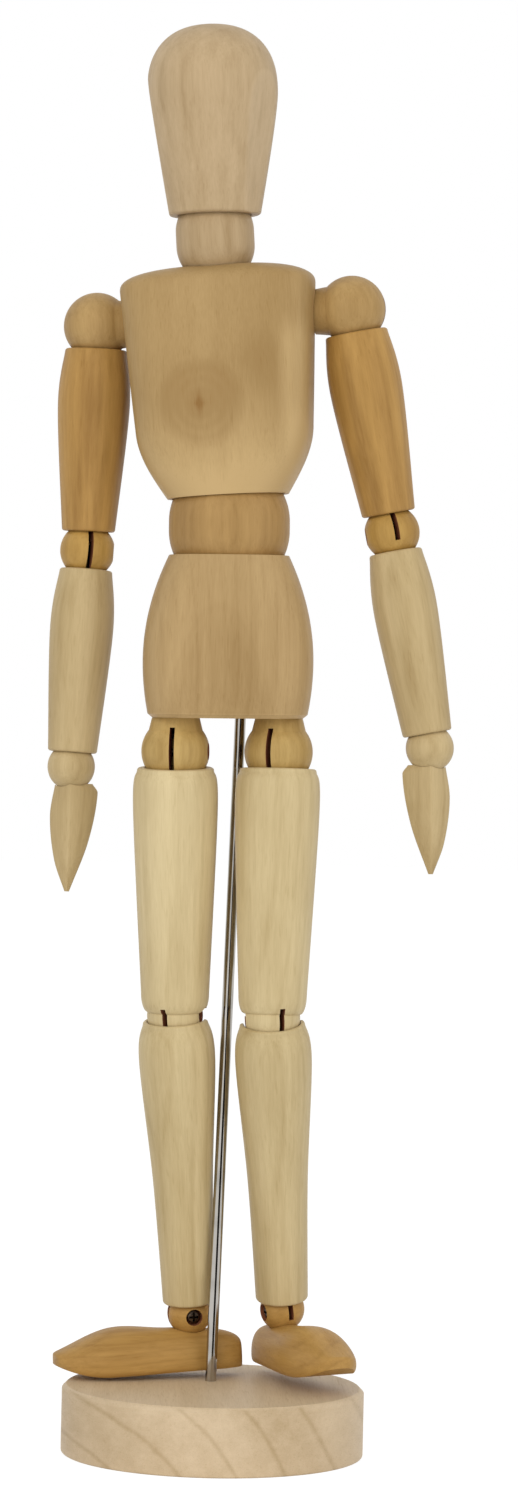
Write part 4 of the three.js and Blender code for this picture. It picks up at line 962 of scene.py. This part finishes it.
def head_rings(trunk, facets):
    """Rings of the head: an egg of revolution, its radius held back by two sanded cheeks.

    The lower rim is a small arc, the jaw a quadratic Bezier curve that ends upright at the widest level,
    the crown a superellipse. On each ring the radius is the soft minimum of the egg and of two leaning
    planes that stand left and right of the front.
    """
    edge = trunk.head_edge
    rim = arc(trunk.head_jaw_radius - edge, trunk.head_bottom + edge, edge, -90, 0, 10)
    t = np.linspace(0, 1, SKIN_STEPS)[1:, None]
    start, aim = rim[-1], np.array((trunk.head_radius, trunk.head_jaw_bulge))
    end = np.array((trunk.head_radius, trunk.head_widest))
    jaw = start * (1 - t) ** 2 + 2 * aim * t * (1 - t) + end * t**2
    turn = np.linspace(0, np.pi / 2, SKIN_STEPS)[1:-1, None]
    round_off = np.hstack((np.cos(turn), np.sin(turn))) ** (2 / trunk.head_crown_power)
    crown = (0, trunk.head_widest) + round_off * (trunk.head_radius, trunk.head_top - trunk.head_widest)
    radius, height = np.vstack((rim, jaw, crown)).T[:, :, None]
    turn = np.linspace(0, 2 * np.pi, facets, endpoint=False)
    flat = (trunk.cheek_distance + height * math.sin(trunk.cheek_tilt)) / math.cos(trunk.cheek_tilt)
    for way in (-1, 1):
        cheek = flat / np.maximum(np.cos(turn + np.pi / 2 - way * trunk.cheek_angle), 0.05)
        radius = 0.5 * (radius + cheek - np.sqrt((radius - cheek) ** 2 + CHEEK_BLEND**2))
    outlines = np.stack((radius * np.cos(turn), radius * np.sin(turn)), axis=-1)
    return stacked(outlines, height[:, 0])


def hand_rings(limbs, facets, sign):
    """Rings of a leaf-shaped hand: sections whose thumb side, outer side and thickness follow smooth curves.

    Each section is a superellipse of low power, so that a soft ridge runs down the back and the palm.
    """
    down = np.linspace(HAND_THUMB[0][0], HAND_THUMB[-1][0], 80)
    section = superellipse(1.0, level(HAND_THICK, down), limbs.hand_ridge, facets)
    thumb, outer = level(HAND_THUMB, down)[:, None], level(HAND_OUTER, down)[:, None]
    section[..., 0] *= np.where(section[..., 0] * sign < 0, thumb, outer)
    return stacked(section * MM, -down * MM)


def foot_rings(limbs, facets):
    """Rings of a wedge foot from toe to heel: superellipse tops over a flat sole that rises at the toe.

    Width and top follow smooth curves; towards both ends the sections close on a superellipse of power three.
    """
    toe_end, heel_end = FOOT_WIDTH[0][0], FOOT_WIDTH[-1][0]
    along = np.sin(np.pi / 2 * 0.97 * np.linspace(-1, 1, 120))
    place = (heel_end + toe_end) / 2 + (heel_end - toe_end) / 2 * along
    shut = (1 - np.abs(along) ** 3) ** (1 / 3)
    start = limbs.toe_spring_start / MM
    toe = np.clip((-place - start) / (-toe_end - start), 0, None)
    rise = limbs.sole_rise / MM
    line = rise + limbs.toe_spring / MM * toe**2
    high = (level(FOOT_TOP, place) - line) * (0.35 + 0.65 * shut)
    section = superellipse(level(FOOT_WIDTH, place) * shut, 1.0, limbs.foot_squareness, facets)
    across, up = section[..., 0], section[..., 1]
    height = line[:, None] + np.where(up > 0, up * high[:, None], np.maximum(2 * up, -1) * rise)
    rings = np.stack((across, np.broadcast_to(place[:, None], across.shape), height), axis=-1) * MM
    return skin(rings - (0, 0, limbs.ankle_height))


# Operators


class MANNEQUIN_OT_stand(bpy.types.Operator):
    """Turn the round base and the straight rod."""

    bl_idname = "mannequin.stand"
    bl_label = "Base and rod"

    def execute(self, context):
        tools, look = settings()[2:]
        places, woods = resting_frames(), finishes()
        radius, top, chamfer = tools.base_radius, tools.base_thickness, tools.base_chamfer
        profile = np.vstack((
            [(AXIS, 0.0)],
            arc(radius - tools.base_foot, tools.base_foot, tools.base_foot, -90, 0, 6),
            [(radius, top - chamfer), (radius - 0.1 * MM, top - chamfer + 0.15 * MM)],
            [(radius - chamfer + 0.15 * MM, top - 0.1 * MM), (radius - chamfer, top), (AXIS, top)],
        ))
        base = solid("base_disc", skin(revolve(profile, 2 * look.facets)), places["base"], woods["base"])
        dress(base, "stand", ["base"], places["base"], 25)
        rod = places["rod"]
        reach = (node_points("rod") - rod[:3, 3]) @ rod[:3, 2]
        low, high, tip, wide = reach.min(), reach.max(), tools.rod_tip, tools.rod_radius
        profile = [(wide - tip, low), (wide, low + tip), (wide, high - tip), (wide - tip, high)]
        bar = solid("rod_bar", skin(revolve(profile, look.facets)), rod, woods["rod"])
        dress(bar, "stand", ["rod"], rod)
        return {"FINISHED"}


class MANNEQUIN_OT_trunk(bpy.types.Operator):
    """Shape the pelvis and chest blocks and turn the waist between them."""

    bl_idname = "mannequin.trunk"
    bl_label = "Pelvis, waist and chest"

    def execute(self, context):
        trunk, limbs, tools, look = settings()
        places, woods = resting_frames(), finishes()
        pelvis, chest, waist = places["pelvis"], places["chest"], places["waist"]
        block = solid("pelvis_block", pelvis_rings(trunk, 2 * look.facets), pelvis, woods["pelvis"])
        carve(block, self.pelvis_cuts(trunk, limbs, tools, places))
        dress(block, "pelvis", ["pelvis"], pelvis)
        rings = barrel_rings(trunk.waist_radius, trunk.waist_straight, trunk.waist_flat, look.facets)
        barrel = solid("waist_barrel", rings, waist, woods["waist"])
        carve(barrel, [bore(limbs.spring_bore + limbs.fit, -BARREL_BORE, BARREL_BORE, waist)])
        dress(barrel, "waist", ["waist"], waist)
        block = solid("chest_block", chest_rings(trunk, 2 * look.facets), chest, woods["chest"])
        carve(block, self.chest_cuts(trunk, limbs, tools, places))
        dress(block, "chest", ["chest"], chest)
        return {"FINISHED"}

    def pelvis_cuts(self, trunk, limbs, tools, places):
        """The cup that the waist turns in, the spring's bore and pin hole, and the rod's hole."""
        pelvis, rod = places["pelvis"], places["rod"]
        zone = shifted(places["waist"], z=-trunk.waist_straight / 2)
        anchor = apart(zone, pelvis) - tools.anchor_reach
        top = ((node_points("rod") - rod[:3, 3]) @ rod[:3, 2]).max() + 2 * limbs.fit
        return [
            cup(trunk.waist_radius + limbs.fit, zone),
            bore(limbs.spring_bore, anchor - limbs.slot_past, apart(zone, pelvis), pelvis),
            pin_hole(limbs, tools, pelvis, anchor),
            # The rod's hole takes the sawn finish, which is painted shade.
            bore(tools.rod_radius + limbs.fit, top - ROD_HOLE, top, rod, finishes()["sawn"]),
        ]

    def chest_cuts(self, trunk, limbs, tools, places):
        """The cups for waist and neck, the springs' bores and pin holes, and the shoulder balls' seats."""
        chest = places["chest"]
        zone = shifted(places["neck"], z=-trunk.neck_straight / 2)
        rise = apart(places["neck"], chest)
        anchor = rise - tools.neck_anchor_reach
        cuts = [
            cup(trunk.waist_radius + limbs.fit, chest),
            cup(trunk.neck_radius + limbs.fit, zone),
            bore(limbs.spring_bore, 0.0, tools.anchor_reach + limbs.slot_past, chest),
            bore(limbs.spring_bore, anchor - limbs.slot_past, rise, chest),
            pin_hole(limbs, tools, chest, tools.anchor_reach),
            pin_hole(limbs, tools, chest, anchor),
        ]
        floor = limbs.shoulder_reach + limbs.fit
        for side, sign in SIDES.items():
            inward = places[f"{side}_shoulder"] @ spin(-90 * sign, "Y")
            cuts.append(bore(limbs.shoulder_neck + limbs.fit, 0.0, floor, inward))
        cuts.append(bore(limbs.spring_bore, 0.0, 2 * trunk.chest_top_width, inward))
        return cuts


class MANNEQUIN_OT_head(bpy.types.Operator):
    """Turn the neck barrel and the head with its sanded cheeks."""

    bl_idname = "mannequin.head"
    bl_label = "Neck and head"

    def execute(self, context):
        trunk, limbs, tools, look = settings()
        places, woods = resting_frames(), finishes()
        neck, head = places["neck"], places["head"]
        rings = barrel_rings(trunk.neck_radius, trunk.neck_straight, trunk.neck_flat, look.facets)
        barrel = solid("neck_barrel", rings, neck, woods["head"])
        carve(barrel, [bore(limbs.spring_bore + limbs.fit, -BARREL_BORE, BARREL_BORE, neck)])
        dress(barrel, "neck", ["neck"], neck)
        egg = solid("head_egg", head_rings(trunk, 3 * look.facets), head, woods["head"])
        carve(egg, [
            cup(trunk.neck_radius + limbs.fit, head, limbs.spring_bore, tools.anchor_reach + limbs.slot_past),
            pin_hole(limbs, tools, head, tools.anchor_reach),
        ])
        dress(egg, "head", ["head"], head)
        return {"FINISHED"}


class MANNEQUIN_OT_arms(bpy.types.Operator):
    """Turn the shoulder balls, upper arms, elbow balls and forearms."""

    bl_idname = "mannequin.arms"
    bl_label = "Arms"

    def execute(self, context):
        limbs, tools, look = settings()[1:]
        places, woods = resting_frames(), finishes()
        for side, sign in SIDES.items():
            self.shoulder(side, sign, limbs, tools, look.facets, places[f"{side}_shoulder"])
            upper, elbow, hand = (places[f"{side}_{name}"] for name in ("upper_arm", "elbow", "hand"))
            rings = limb_rings(
                limbs, look.facets, apart(upper, elbow),
                (limbs.upper_arm_top, limbs.upper_arm_rim, limbs.shoulder_radius),
                (limbs.upper_arm_end, limbs.elbow_rim, limbs.elbow_radius),
                [(limbs.upper_arm_full_at, limbs.upper_arm_full)],
            )
            limb = solid(f"{side}_upper_arm_turned", rings, upper, woods["arm"])
            dress(limb, f"{side}_upper_arm", [f"{side}_upper_arm"], upper)
            past = limbs.slot_past if sign > 0 else limbs.right_elbow_slot_past
            rings = ball_rings(limbs.elbow_radius, look.facets)
            ball = solid(f"{side}_elbow_turned", rings, elbow, woods["elbow"])
            carve(ball, [
                slot(limbs, elbow, limbs.elbow_radius, past, 0, 1, -limbs.eye_offset, limbs.slot_skew),
                bore(limbs.spring_bore, -limbs.elbow_radius - MM, limbs.slot_past, elbow),
                screw_hole(limbs, tools, elbow, limbs.elbow_radius, screw_turn(sign)),
            ])
            dress(ball, f"{side}_elbow", [f"{side}_elbow_ball"], elbow)
            rings = limb_rings(
                limbs, look.facets, apart(elbow, hand),
                (limbs.forearm_top, limbs.elbow_rim, limbs.elbow_radius),
                (limbs.forearm_end, limbs.wrist_rim, limbs.wrist_radius),
                [(limbs.forearm_full_at, limbs.forearm_full)],
            )
            limb = solid(f"{side}_forearm_turned", rings, elbow, woods["forearm"])
            dress(limb, f"{side}_forearm", [f"{side}_forearm"], elbow)
        return {"FINISHED"}

    def shoulder(self, side, sign, limbs, tools, facets, where):
        """One shoulder ball: an arc, then a neck into the chest, slotted and bored for its spring."""
        neck = ([(limbs.shoulder_neck, limbs.shoulder_reach)],)
        rings = ball_rings(limbs.shoulder_radius, facets, math.degrees(limbs.shoulder_neck_angle), neck)
        inward = where @ spin(-90 * sign, "Y")
        ball = solid(f"{side}_shoulder_turned", rings, inward, finishes()["shoulder"])
        carve(ball, [
            bore(limbs.spring_bore, -limbs.slot_past, limbs.shoulder_reach + MM, inward),
            slot(limbs, where, limbs.shoulder_radius, limbs.slot_past, 1, -1, limbs.eye_offset),
            screw_hole(limbs, tools, where, limbs.shoulder_radius, 90),
        ])
        dress(ball, f"{side}_shoulder", [f"{side}_shoulder_ball"], where)


class MANNEQUIN_OT_hands(bpy.types.Operator):
    """Turn the wrist balls and carve the leaf-shaped hands."""

    bl_idname = "mannequin.hands"
    bl_label = "Wrists and hands"

    def execute(self, context):
        limbs, tools, look = settings()[1:]
        places, woods = resting_frames(), finishes()
        for side, sign in SIDES.items():
            where = places[f"{side}_hand"]
            rings = ball_rings(limbs.wrist_radius, look.facets)
            ball = solid(f"{side}_wrist_turned", rings, where, woods["forearm"])
            carve(ball, [
                slot(limbs, where, limbs.wrist_radius, limbs.slot_past, 1, 1),
                screw_hole(limbs, tools, where, limbs.wrist_radius, 90),
            ])
            dress(ball, f"{side}_hand", [f"{side}_wrist_ball"], where)
            hand = solid(f"{side}_hand_leaf", hand_rings(limbs, look.facets, sign), where, woods["forearm"])
            carve(hand, [cup(limbs.wrist_radius + SEAT_FIT, where)])
            dress(hand, f"{side}_hand", [f"{side}_hand"], where)
        return {"FINISHED"}


class MANNEQUIN_OT_legs(bpy.types.Operator):
    """Turn the hip balls, the thighs with their knee balls, and the shins."""

    bl_idname = "mannequin.legs"
    bl_label = "Legs"

    def execute(self, context):
        trunk, limbs, tools, look = settings()
        places, woods = resting_frames(), finishes()
        for side, sign in SIDES.items():
            names = ("hip", "thigh", "knee", "shin", "ankle")
            hip, thigh, knee, shin, ankle = (places[f"{side}_{name}"] for name in names)
            neck = ([(limbs.hip_neck, trunk.pelvis_bottom - HIP_GAP)],)
            rings = ball_rings(limbs.hip_radius, look.facets, math.degrees(limbs.hip_neck_angle), neck)
            ball = solid(f"{side}_hip_turned", rings, hip, woods["hip"])
            carve(ball, [
                slot(limbs, hip, limbs.hip_radius, limbs.hip_slot_past, 0, -1),
                bore(tools.swivel_head + limbs.fit, -limbs.hip_radius - MM, tools.swivel_room, hip),
                bore(tools.swivel_shank + limbs.fit, 0.0, trunk.pelvis_bottom + MM, hip),
                screw_hole(limbs, tools, hip, limbs.hip_radius, screw_turn(sign)),
            ])
            dress(ball, f"{side}_hip", [f"{side}_hip_ball"], hip)
            rings = self.thigh_rings(limbs, look.facets, apart(thigh, knee))
            leg = solid(f"{side}_thigh_turned", rings, thigh, woods["leg"])
            skew = sign * limbs.slot_skew
            carve(leg, [
                slot(limbs, knee, limbs.knee_radius, limbs.slot_past, 0, -1, limbs.eye_offset, skew),
                screw_hole(limbs, tools, knee, limbs.knee_radius, screw_turn(sign)),
                self.relief(limbs, knee, 1),
            ])
            dress(leg, f"{side}_thigh", [f"{side}_thigh"], thigh)
            low = apart(shin, ankle) - limbs.ankle_rim
            middle = (limbs.shin_full + limbs.shin_end) / 2
            calf = ((limbs.shin_full_at + low) / 2, middle - limbs.shin_hollow)
            rings = limb_rings(
                limbs, look.facets, apart(shin, ankle),
                (limbs.shin_top, limbs.knee_rim, limbs.knee_radius),
                (limbs.shin_end, limbs.ankle_rim, limbs.ankle_radius),
                [(limbs.shin_full_at, limbs.shin_full), calf],
            )
            leg = solid(f"{side}_shin_turned", rings, shin, woods["leg"])
            carve(leg, [self.relief(limbs, shin, -1)])
            dress(leg, f"{side}_shin", [f"{side}_shin"], shin)
        return {"FINISHED"}

    def thigh_rings(self, limbs, facets, reach):
        """Rings of a thigh: bore and cup, lip, smooth skin, rounded shoulder, knee ball in one profile."""
        hollow = limbs.hip_radius + limbs.fit
        edge = lip(limbs.thigh_top, hollow, limbs.thigh_rim, limbs.edge_round)
        low = reach - limbs.thigh_end_at
        stops = [
            (limbs.thigh_rim + edge, limbs.thigh_top),
            (limbs.thigh_full_at, limbs.thigh_full),
            (low, limbs.thigh_end),
        ]
        upper = cup_arc(hollow, limbs.thigh_rim, limbs.spring_bore)[::-1]
        leave = limbs.knee_radius * math.cos(limbs.knee_waist)
        drop = limbs.thigh_end_at - limbs.knee_radius * math.sin(limbs.knee_waist)
        turn = np.linspace(0, np.pi / 2, 14)[1:-1]
        radius = leave + (limbs.thigh_end - leave) * np.cos(turn)
        shoulder = np.column_stack((radius, -low - drop * np.sin(turn)))
        profile = np.vstack((
            [(AXIS, -reach - limbs.slot_past), (limbs.spring_bore, -reach - limbs.slot_past)],
            np.column_stack((hollow * np.cos(upper), -hollow * np.sin(upper))),
            arc(limbs.thigh_top - edge, -limbs.thigh_rim - edge, edge, 90, 0, LIP_STEPS),
            curve(stops, SKIN_STEPS)[1:, ::-1] * (1, -1),
            shoulder,
            arc(0, -reach, limbs.knee_radius, math.degrees(limbs.knee_waist), -POLE, 48),
        ))
        return skin(revolve(profile, facets))

    def relief(self, limbs, where, way):
        """The wedge behind a knee: a block that starts behind the hinge and leans away from it."""
        low = np.array((-RELIEF_HALF, 0, 0))
        high = np.array((RELIEF_HALF, RELIEF_DEPTH, way * RELIEF_DEPTH))
        start = shifted(where, y=limbs.knee_relief_back, z=way * limbs.knee_rim)
        box = box_shape(np.minimum(low, high), np.maximum(low, high))
        return solid("relief", box, start @ spin(-way * math.degrees(limbs.knee_relief), "X"))


class MANNEQUIN_OT_feet(bpy.types.Operator):
    """Turn the slotted ankle balls and carve the wedge feet."""

    bl_idname = "mannequin.feet"
    bl_label = "Ankles and feet"

    def execute(self, context):
        limbs, tools, look = settings()[1:]
        places, woods = resting_frames(), finishes()
        for side, sign in SIDES.items():
            ankle, foot = places[f"{side}_ankle"], places[f"{side}_foot"]
            rings = ball_rings(limbs.ankle_radius, look.facets)
            ball = solid(f"{side}_ankle_turned", rings, ankle, woods["foot"])
            carve(ball, [
                slot(limbs, ankle, limbs.ankle_radius, limbs.slot_past, 0, 1),
                screw_hole(limbs, tools, ankle, limbs.ankle_radius, screw_turn(sign)),
            ])
            dress(ball, f"{side}_foot", [f"{side}_ankle_ball"], ankle)
            wedge = solid(f"{side}_foot_wedge", foot_rings(limbs, look.facets), foot, woods["foot"])
            carve(wedge, [cup(limbs.ankle_radius + SEAT_FIT, ankle)])
            dress(wedge, f"{side}_foot", [f"{side}_foot"], foot)
        return {"FINISHED"}


class MANNEQUIN_OT_fittings(bpy.types.Operator):
    """Turn the cross-headed pivot screws and give the springs, pins and other screws their steel."""

    bl_idname = "mannequin.fittings"
    bl_label = "Screws and springs"

    def execute(self, context):
        limbs, tools = settings()[1:3]
        places, woods = resting_frames(), finishes()
        for side, sign in SIDES.items():
            medial = screw_turn(sign)
            for joint, place, body, turn in (
                ("shoulder", "shoulder", "shoulder", 90),
                ("elbow", "elbow", "elbow", medial),
                ("wrist", "hand", "hand", 90),
                ("hip", "hip", "hip", medial),
                ("knee", "knee", "thigh", medial),
                ("ankle", "ankle", "foot", medial),
            ):
                where = places[f"{side}_{place}"] @ spin(turn) @ spin(90, "Y")
                screw = self.screw(f"{side}_{joint}", tools, getattr(limbs, f"{joint}_radius"), where)
                dress(screw, f"{side}_{body}", [f"{side}_{joint}_screw"], where)
        for name, node in frame["nodes"].items():
            if name.endswith(("_spring", "_screw", "_pin")):
                node.data.materials.clear()
                node.data.materials.append(woods["spring" if name.endswith("_spring") else "screw"])
        return {"FINISHED"}

    def screw(self, joint, tools, radius, where):
        """One pivot screw along z: plain shank, domed head, and a cross recess of two narrow boxes, whose
        walls take the dark steel of the springs as painted shade.
        """
        tip, seat = tools.screw_cover - radius, radius - tools.screw_sink - tools.screw_head_height
        turn = np.linspace(0, np.pi / 2, 10)[:-1]
        rise = seat + tools.screw_head_height * (0.45 + 0.55 * np.sin(turn))
        dome = np.column_stack((tools.screw_head * np.cos(turn), rise))
        profile = [(tools.screw_shank, tip), (tools.screw_shank, seat), (tools.screw_head, seat), *dome]
        made = solid(f"{joint}_screw_turned", skin(revolve(profile, HOLE_FACETS)), where, finishes()["screw"])
        high = seat + tools.screw_head_height
        arm = np.array((0.68 * tools.screw_head, 0.16 * tools.screw_head, 0.0))
        floor, over = np.array((0, 0, high - tools.screw_recess)), np.array((0, 0, high + MM))
        boxes = [box_shape(floor - half, over + half) for half in (arm, arm[[1, 0, 2]])]
        # The recess walls take the springs' dark steel: painted shade inside the cross.
        return carve(made, [solid("recess", box, where, finishes()["spring"]) for box in boxes])


class MANNEQUIN_OT_studio(bpy.types.Operator):
    """Lay the pale floor, set the soft lights and aim the camera."""

    bl_idname = "mannequin.studio"
    bl_label = "Studio"

    def execute(self, context):
        look = settings()[3]
        self.floor(look)
        self.card()
        self.lights()
        self.camera()
        context.scene.view_settings.view_transform = "Standard"
        return {"FINISHED"}

    def sheet_object(self, name, corners, material):
        """A flat stage object of one face."""
        mesh = bpy.data.meshes.new(name)
        mesh.from_pydata(corners, [], [(0, 1, 2, 3)])
        mesh.materials.append(material)
        made = bpy.data.objects.new(name, mesh)
        bpy.context.scene.collection.objects.link(made)
        return made

    def floor(self, look):
        """A level sheet, white to the camera and in reflections, that still takes the figure's shadow."""
        reach = FLOOR_REACH
        sheet = Sheet("Floor")
        cloudy = sheet.noise(sheet.node("ShaderNodeTexCoord", output="Object"), 3.0)
        shade = sheet.mixed(cloudy * 0.2, tinted(look.floor, 1, 1, 1), (1, 1, 1, 1))
        paper = sheet.node("ShaderNodeBsdfDiffuse", None, {"Color": shade})
        faint = sheet.node("ShaderNodeBsdfDiffuse", None, {"Color": (0.3, 0.3, 0.3, 1)})
        glow = sheet.node("ShaderNodeEmission", None, {"Color": (1, 1, 1, 1), "Strength": 0.86})
        white = sheet.node("ShaderNodeAddShader", None, {0: faint, 1: glow})
        sheet.close(sheet.node("ShaderNodeMixShader", None, {0: sheet.seen(), 1: paper, 2: white}))
        corners = [(-reach, -reach, 0), (reach, -reach, 0), (reach, reach, 0), (-reach, reach, 0)]
        self.sheet_object("studio_floor", corners, sheet.material)

    def card(self):
        """A dark upright card before the figure that only reflections see, for the dark line down the rod."""
        sheet = Sheet("Card")
        grey = sheet.noise(sheet.node("ShaderNodeTexCoord", output="Object"), 2.0)
        shade = sheet.mixed(grey, (0.02, 0.02, 0.02, 1), (0.05, 0.05, 0.05, 1))
        sheet.close(sheet.node("ShaderNodeBsdfDiffuse", None, {"Color": shade}))
        corners = [(x, CARD_AT, z) for x, z in CARD_OUTLINE]
        card = self.sheet_object("studio_card", corners, sheet.material)
        card.visible_camera = card.visible_diffuse = card.visible_transmission = card.visible_shadow = False

    def lights(self):
        """A broad soft light from the front, a weaker one from the viewer's right, and an even white room."""
        for name, (place, size, power) in LIGHTS.items():
            data = bpy.data.lights.new(name, "AREA")
            data.shape, data.size, data.energy = "DISK", size, power
            lamp = bpy.data.objects.new(name, data)
            bpy.context.scene.collection.objects.link(lamp)
            aim = np.array(LIGHT_TARGET) - np.array(place)
            lamp.matrix_world = Matrix(local_frame(place, ("z", -aim), ("x", (1, 0, 0))).tolist())
            lamp.visible_glossy = False
        room = Sheet("studio", bpy.data.worlds)
        level_now = 0.55 + room.seen() * 0.45
        glow = room.node("ShaderNodeBackground", None, {"Color": (1, 1, 1, 1), "Strength": level_now})
        room.close(glow, "ShaderNodeOutputWorld")
        bpy.context.scene.world = room.material

    def camera(self):
        """Aims a nearly level camera at the figure, rolled a little, with a long lens for the tall frame."""
        data = bpy.data.cameras.new("camera")
        camera = bpy.data.objects.new("camera", data)
        bpy.context.scene.collection.objects.link(camera)
        place, target = np.array(CAMERA_PLACE), np.array(CAMERA_TARGET)
        where = local_frame(place, ("z", place - target), ("x", np.cross((0, 0, 1), place - target)))
        camera.matrix_world = Matrix((where @ spin(CAMERA_ROLL)).tolist())
        data.sensor_fit = "VERTICAL"
        data.angle = math.radians(CAMERA_ANGLE)
        data.clip_start, data.clip_end = 0.05, 20.0
        bpy.context.scene.camera = camera


class MANNEQUIN_PT_panel(bpy.types.Panel):
    """Lists the steps that dress the figure."""

    bl_idname = "MANNEQUIN_PT_panel"
    bl_label = "Mannequin"
    bl_space_type = "VIEW_3D"
    bl_region_type = "UI"
    bl_category = "Mannequin"

    def draw(self, context):
        for step in STEPS:
            self.layout.operator(step.bl_idname)
        for group, kind in GROUPS.items():
            box = self.layout.box()
            for key in kind.__annotations__:
                box.prop(getattr(context.scene, group), key)


STEPS = (
    MANNEQUIN_OT_stand,
    MANNEQUIN_OT_trunk,
    MANNEQUIN_OT_head,
    MANNEQUIN_OT_arms,
    MANNEQUIN_OT_hands,
    MANNEQUIN_OT_legs,
    MANNEQUIN_OT_feet,
    MANNEQUIN_OT_fittings,
    MANNEQUIN_OT_studio,
)
GROUPS = {
    "mannequin_trunk": MannequinTrunk,
    "mannequin_limbs": MannequinLimbs,
    "mannequin_hardware": MannequinHardware,
    "mannequin_finish": MannequinFinish,
}


def register():
    """Registers the groups, steps and panel."""
    for kind in (*GROUPS.values(), *STEPS, MANNEQUIN_PT_panel):
        bpy.utils.register_class(kind)
    for name, kind in GROUPS.items():
        setattr(bpy.types.Scene, name, PointerProperty(type=kind))


def unregister():
    """Takes them away again."""
    for name in GROUPS:
        delattr(bpy.types.Scene, name)
    for kind in (MANNEQUIN_PT_panel, *reversed(STEPS), *GROUPS.values()):
        bpy.utils.unregister_class(kind)


def main():
    register()
    for step in STEPS:
        group, name = step.bl_idname.split(".")
        getattr(getattr(bpy.ops, group), name)()


if __name__ == "__main__":
    main()
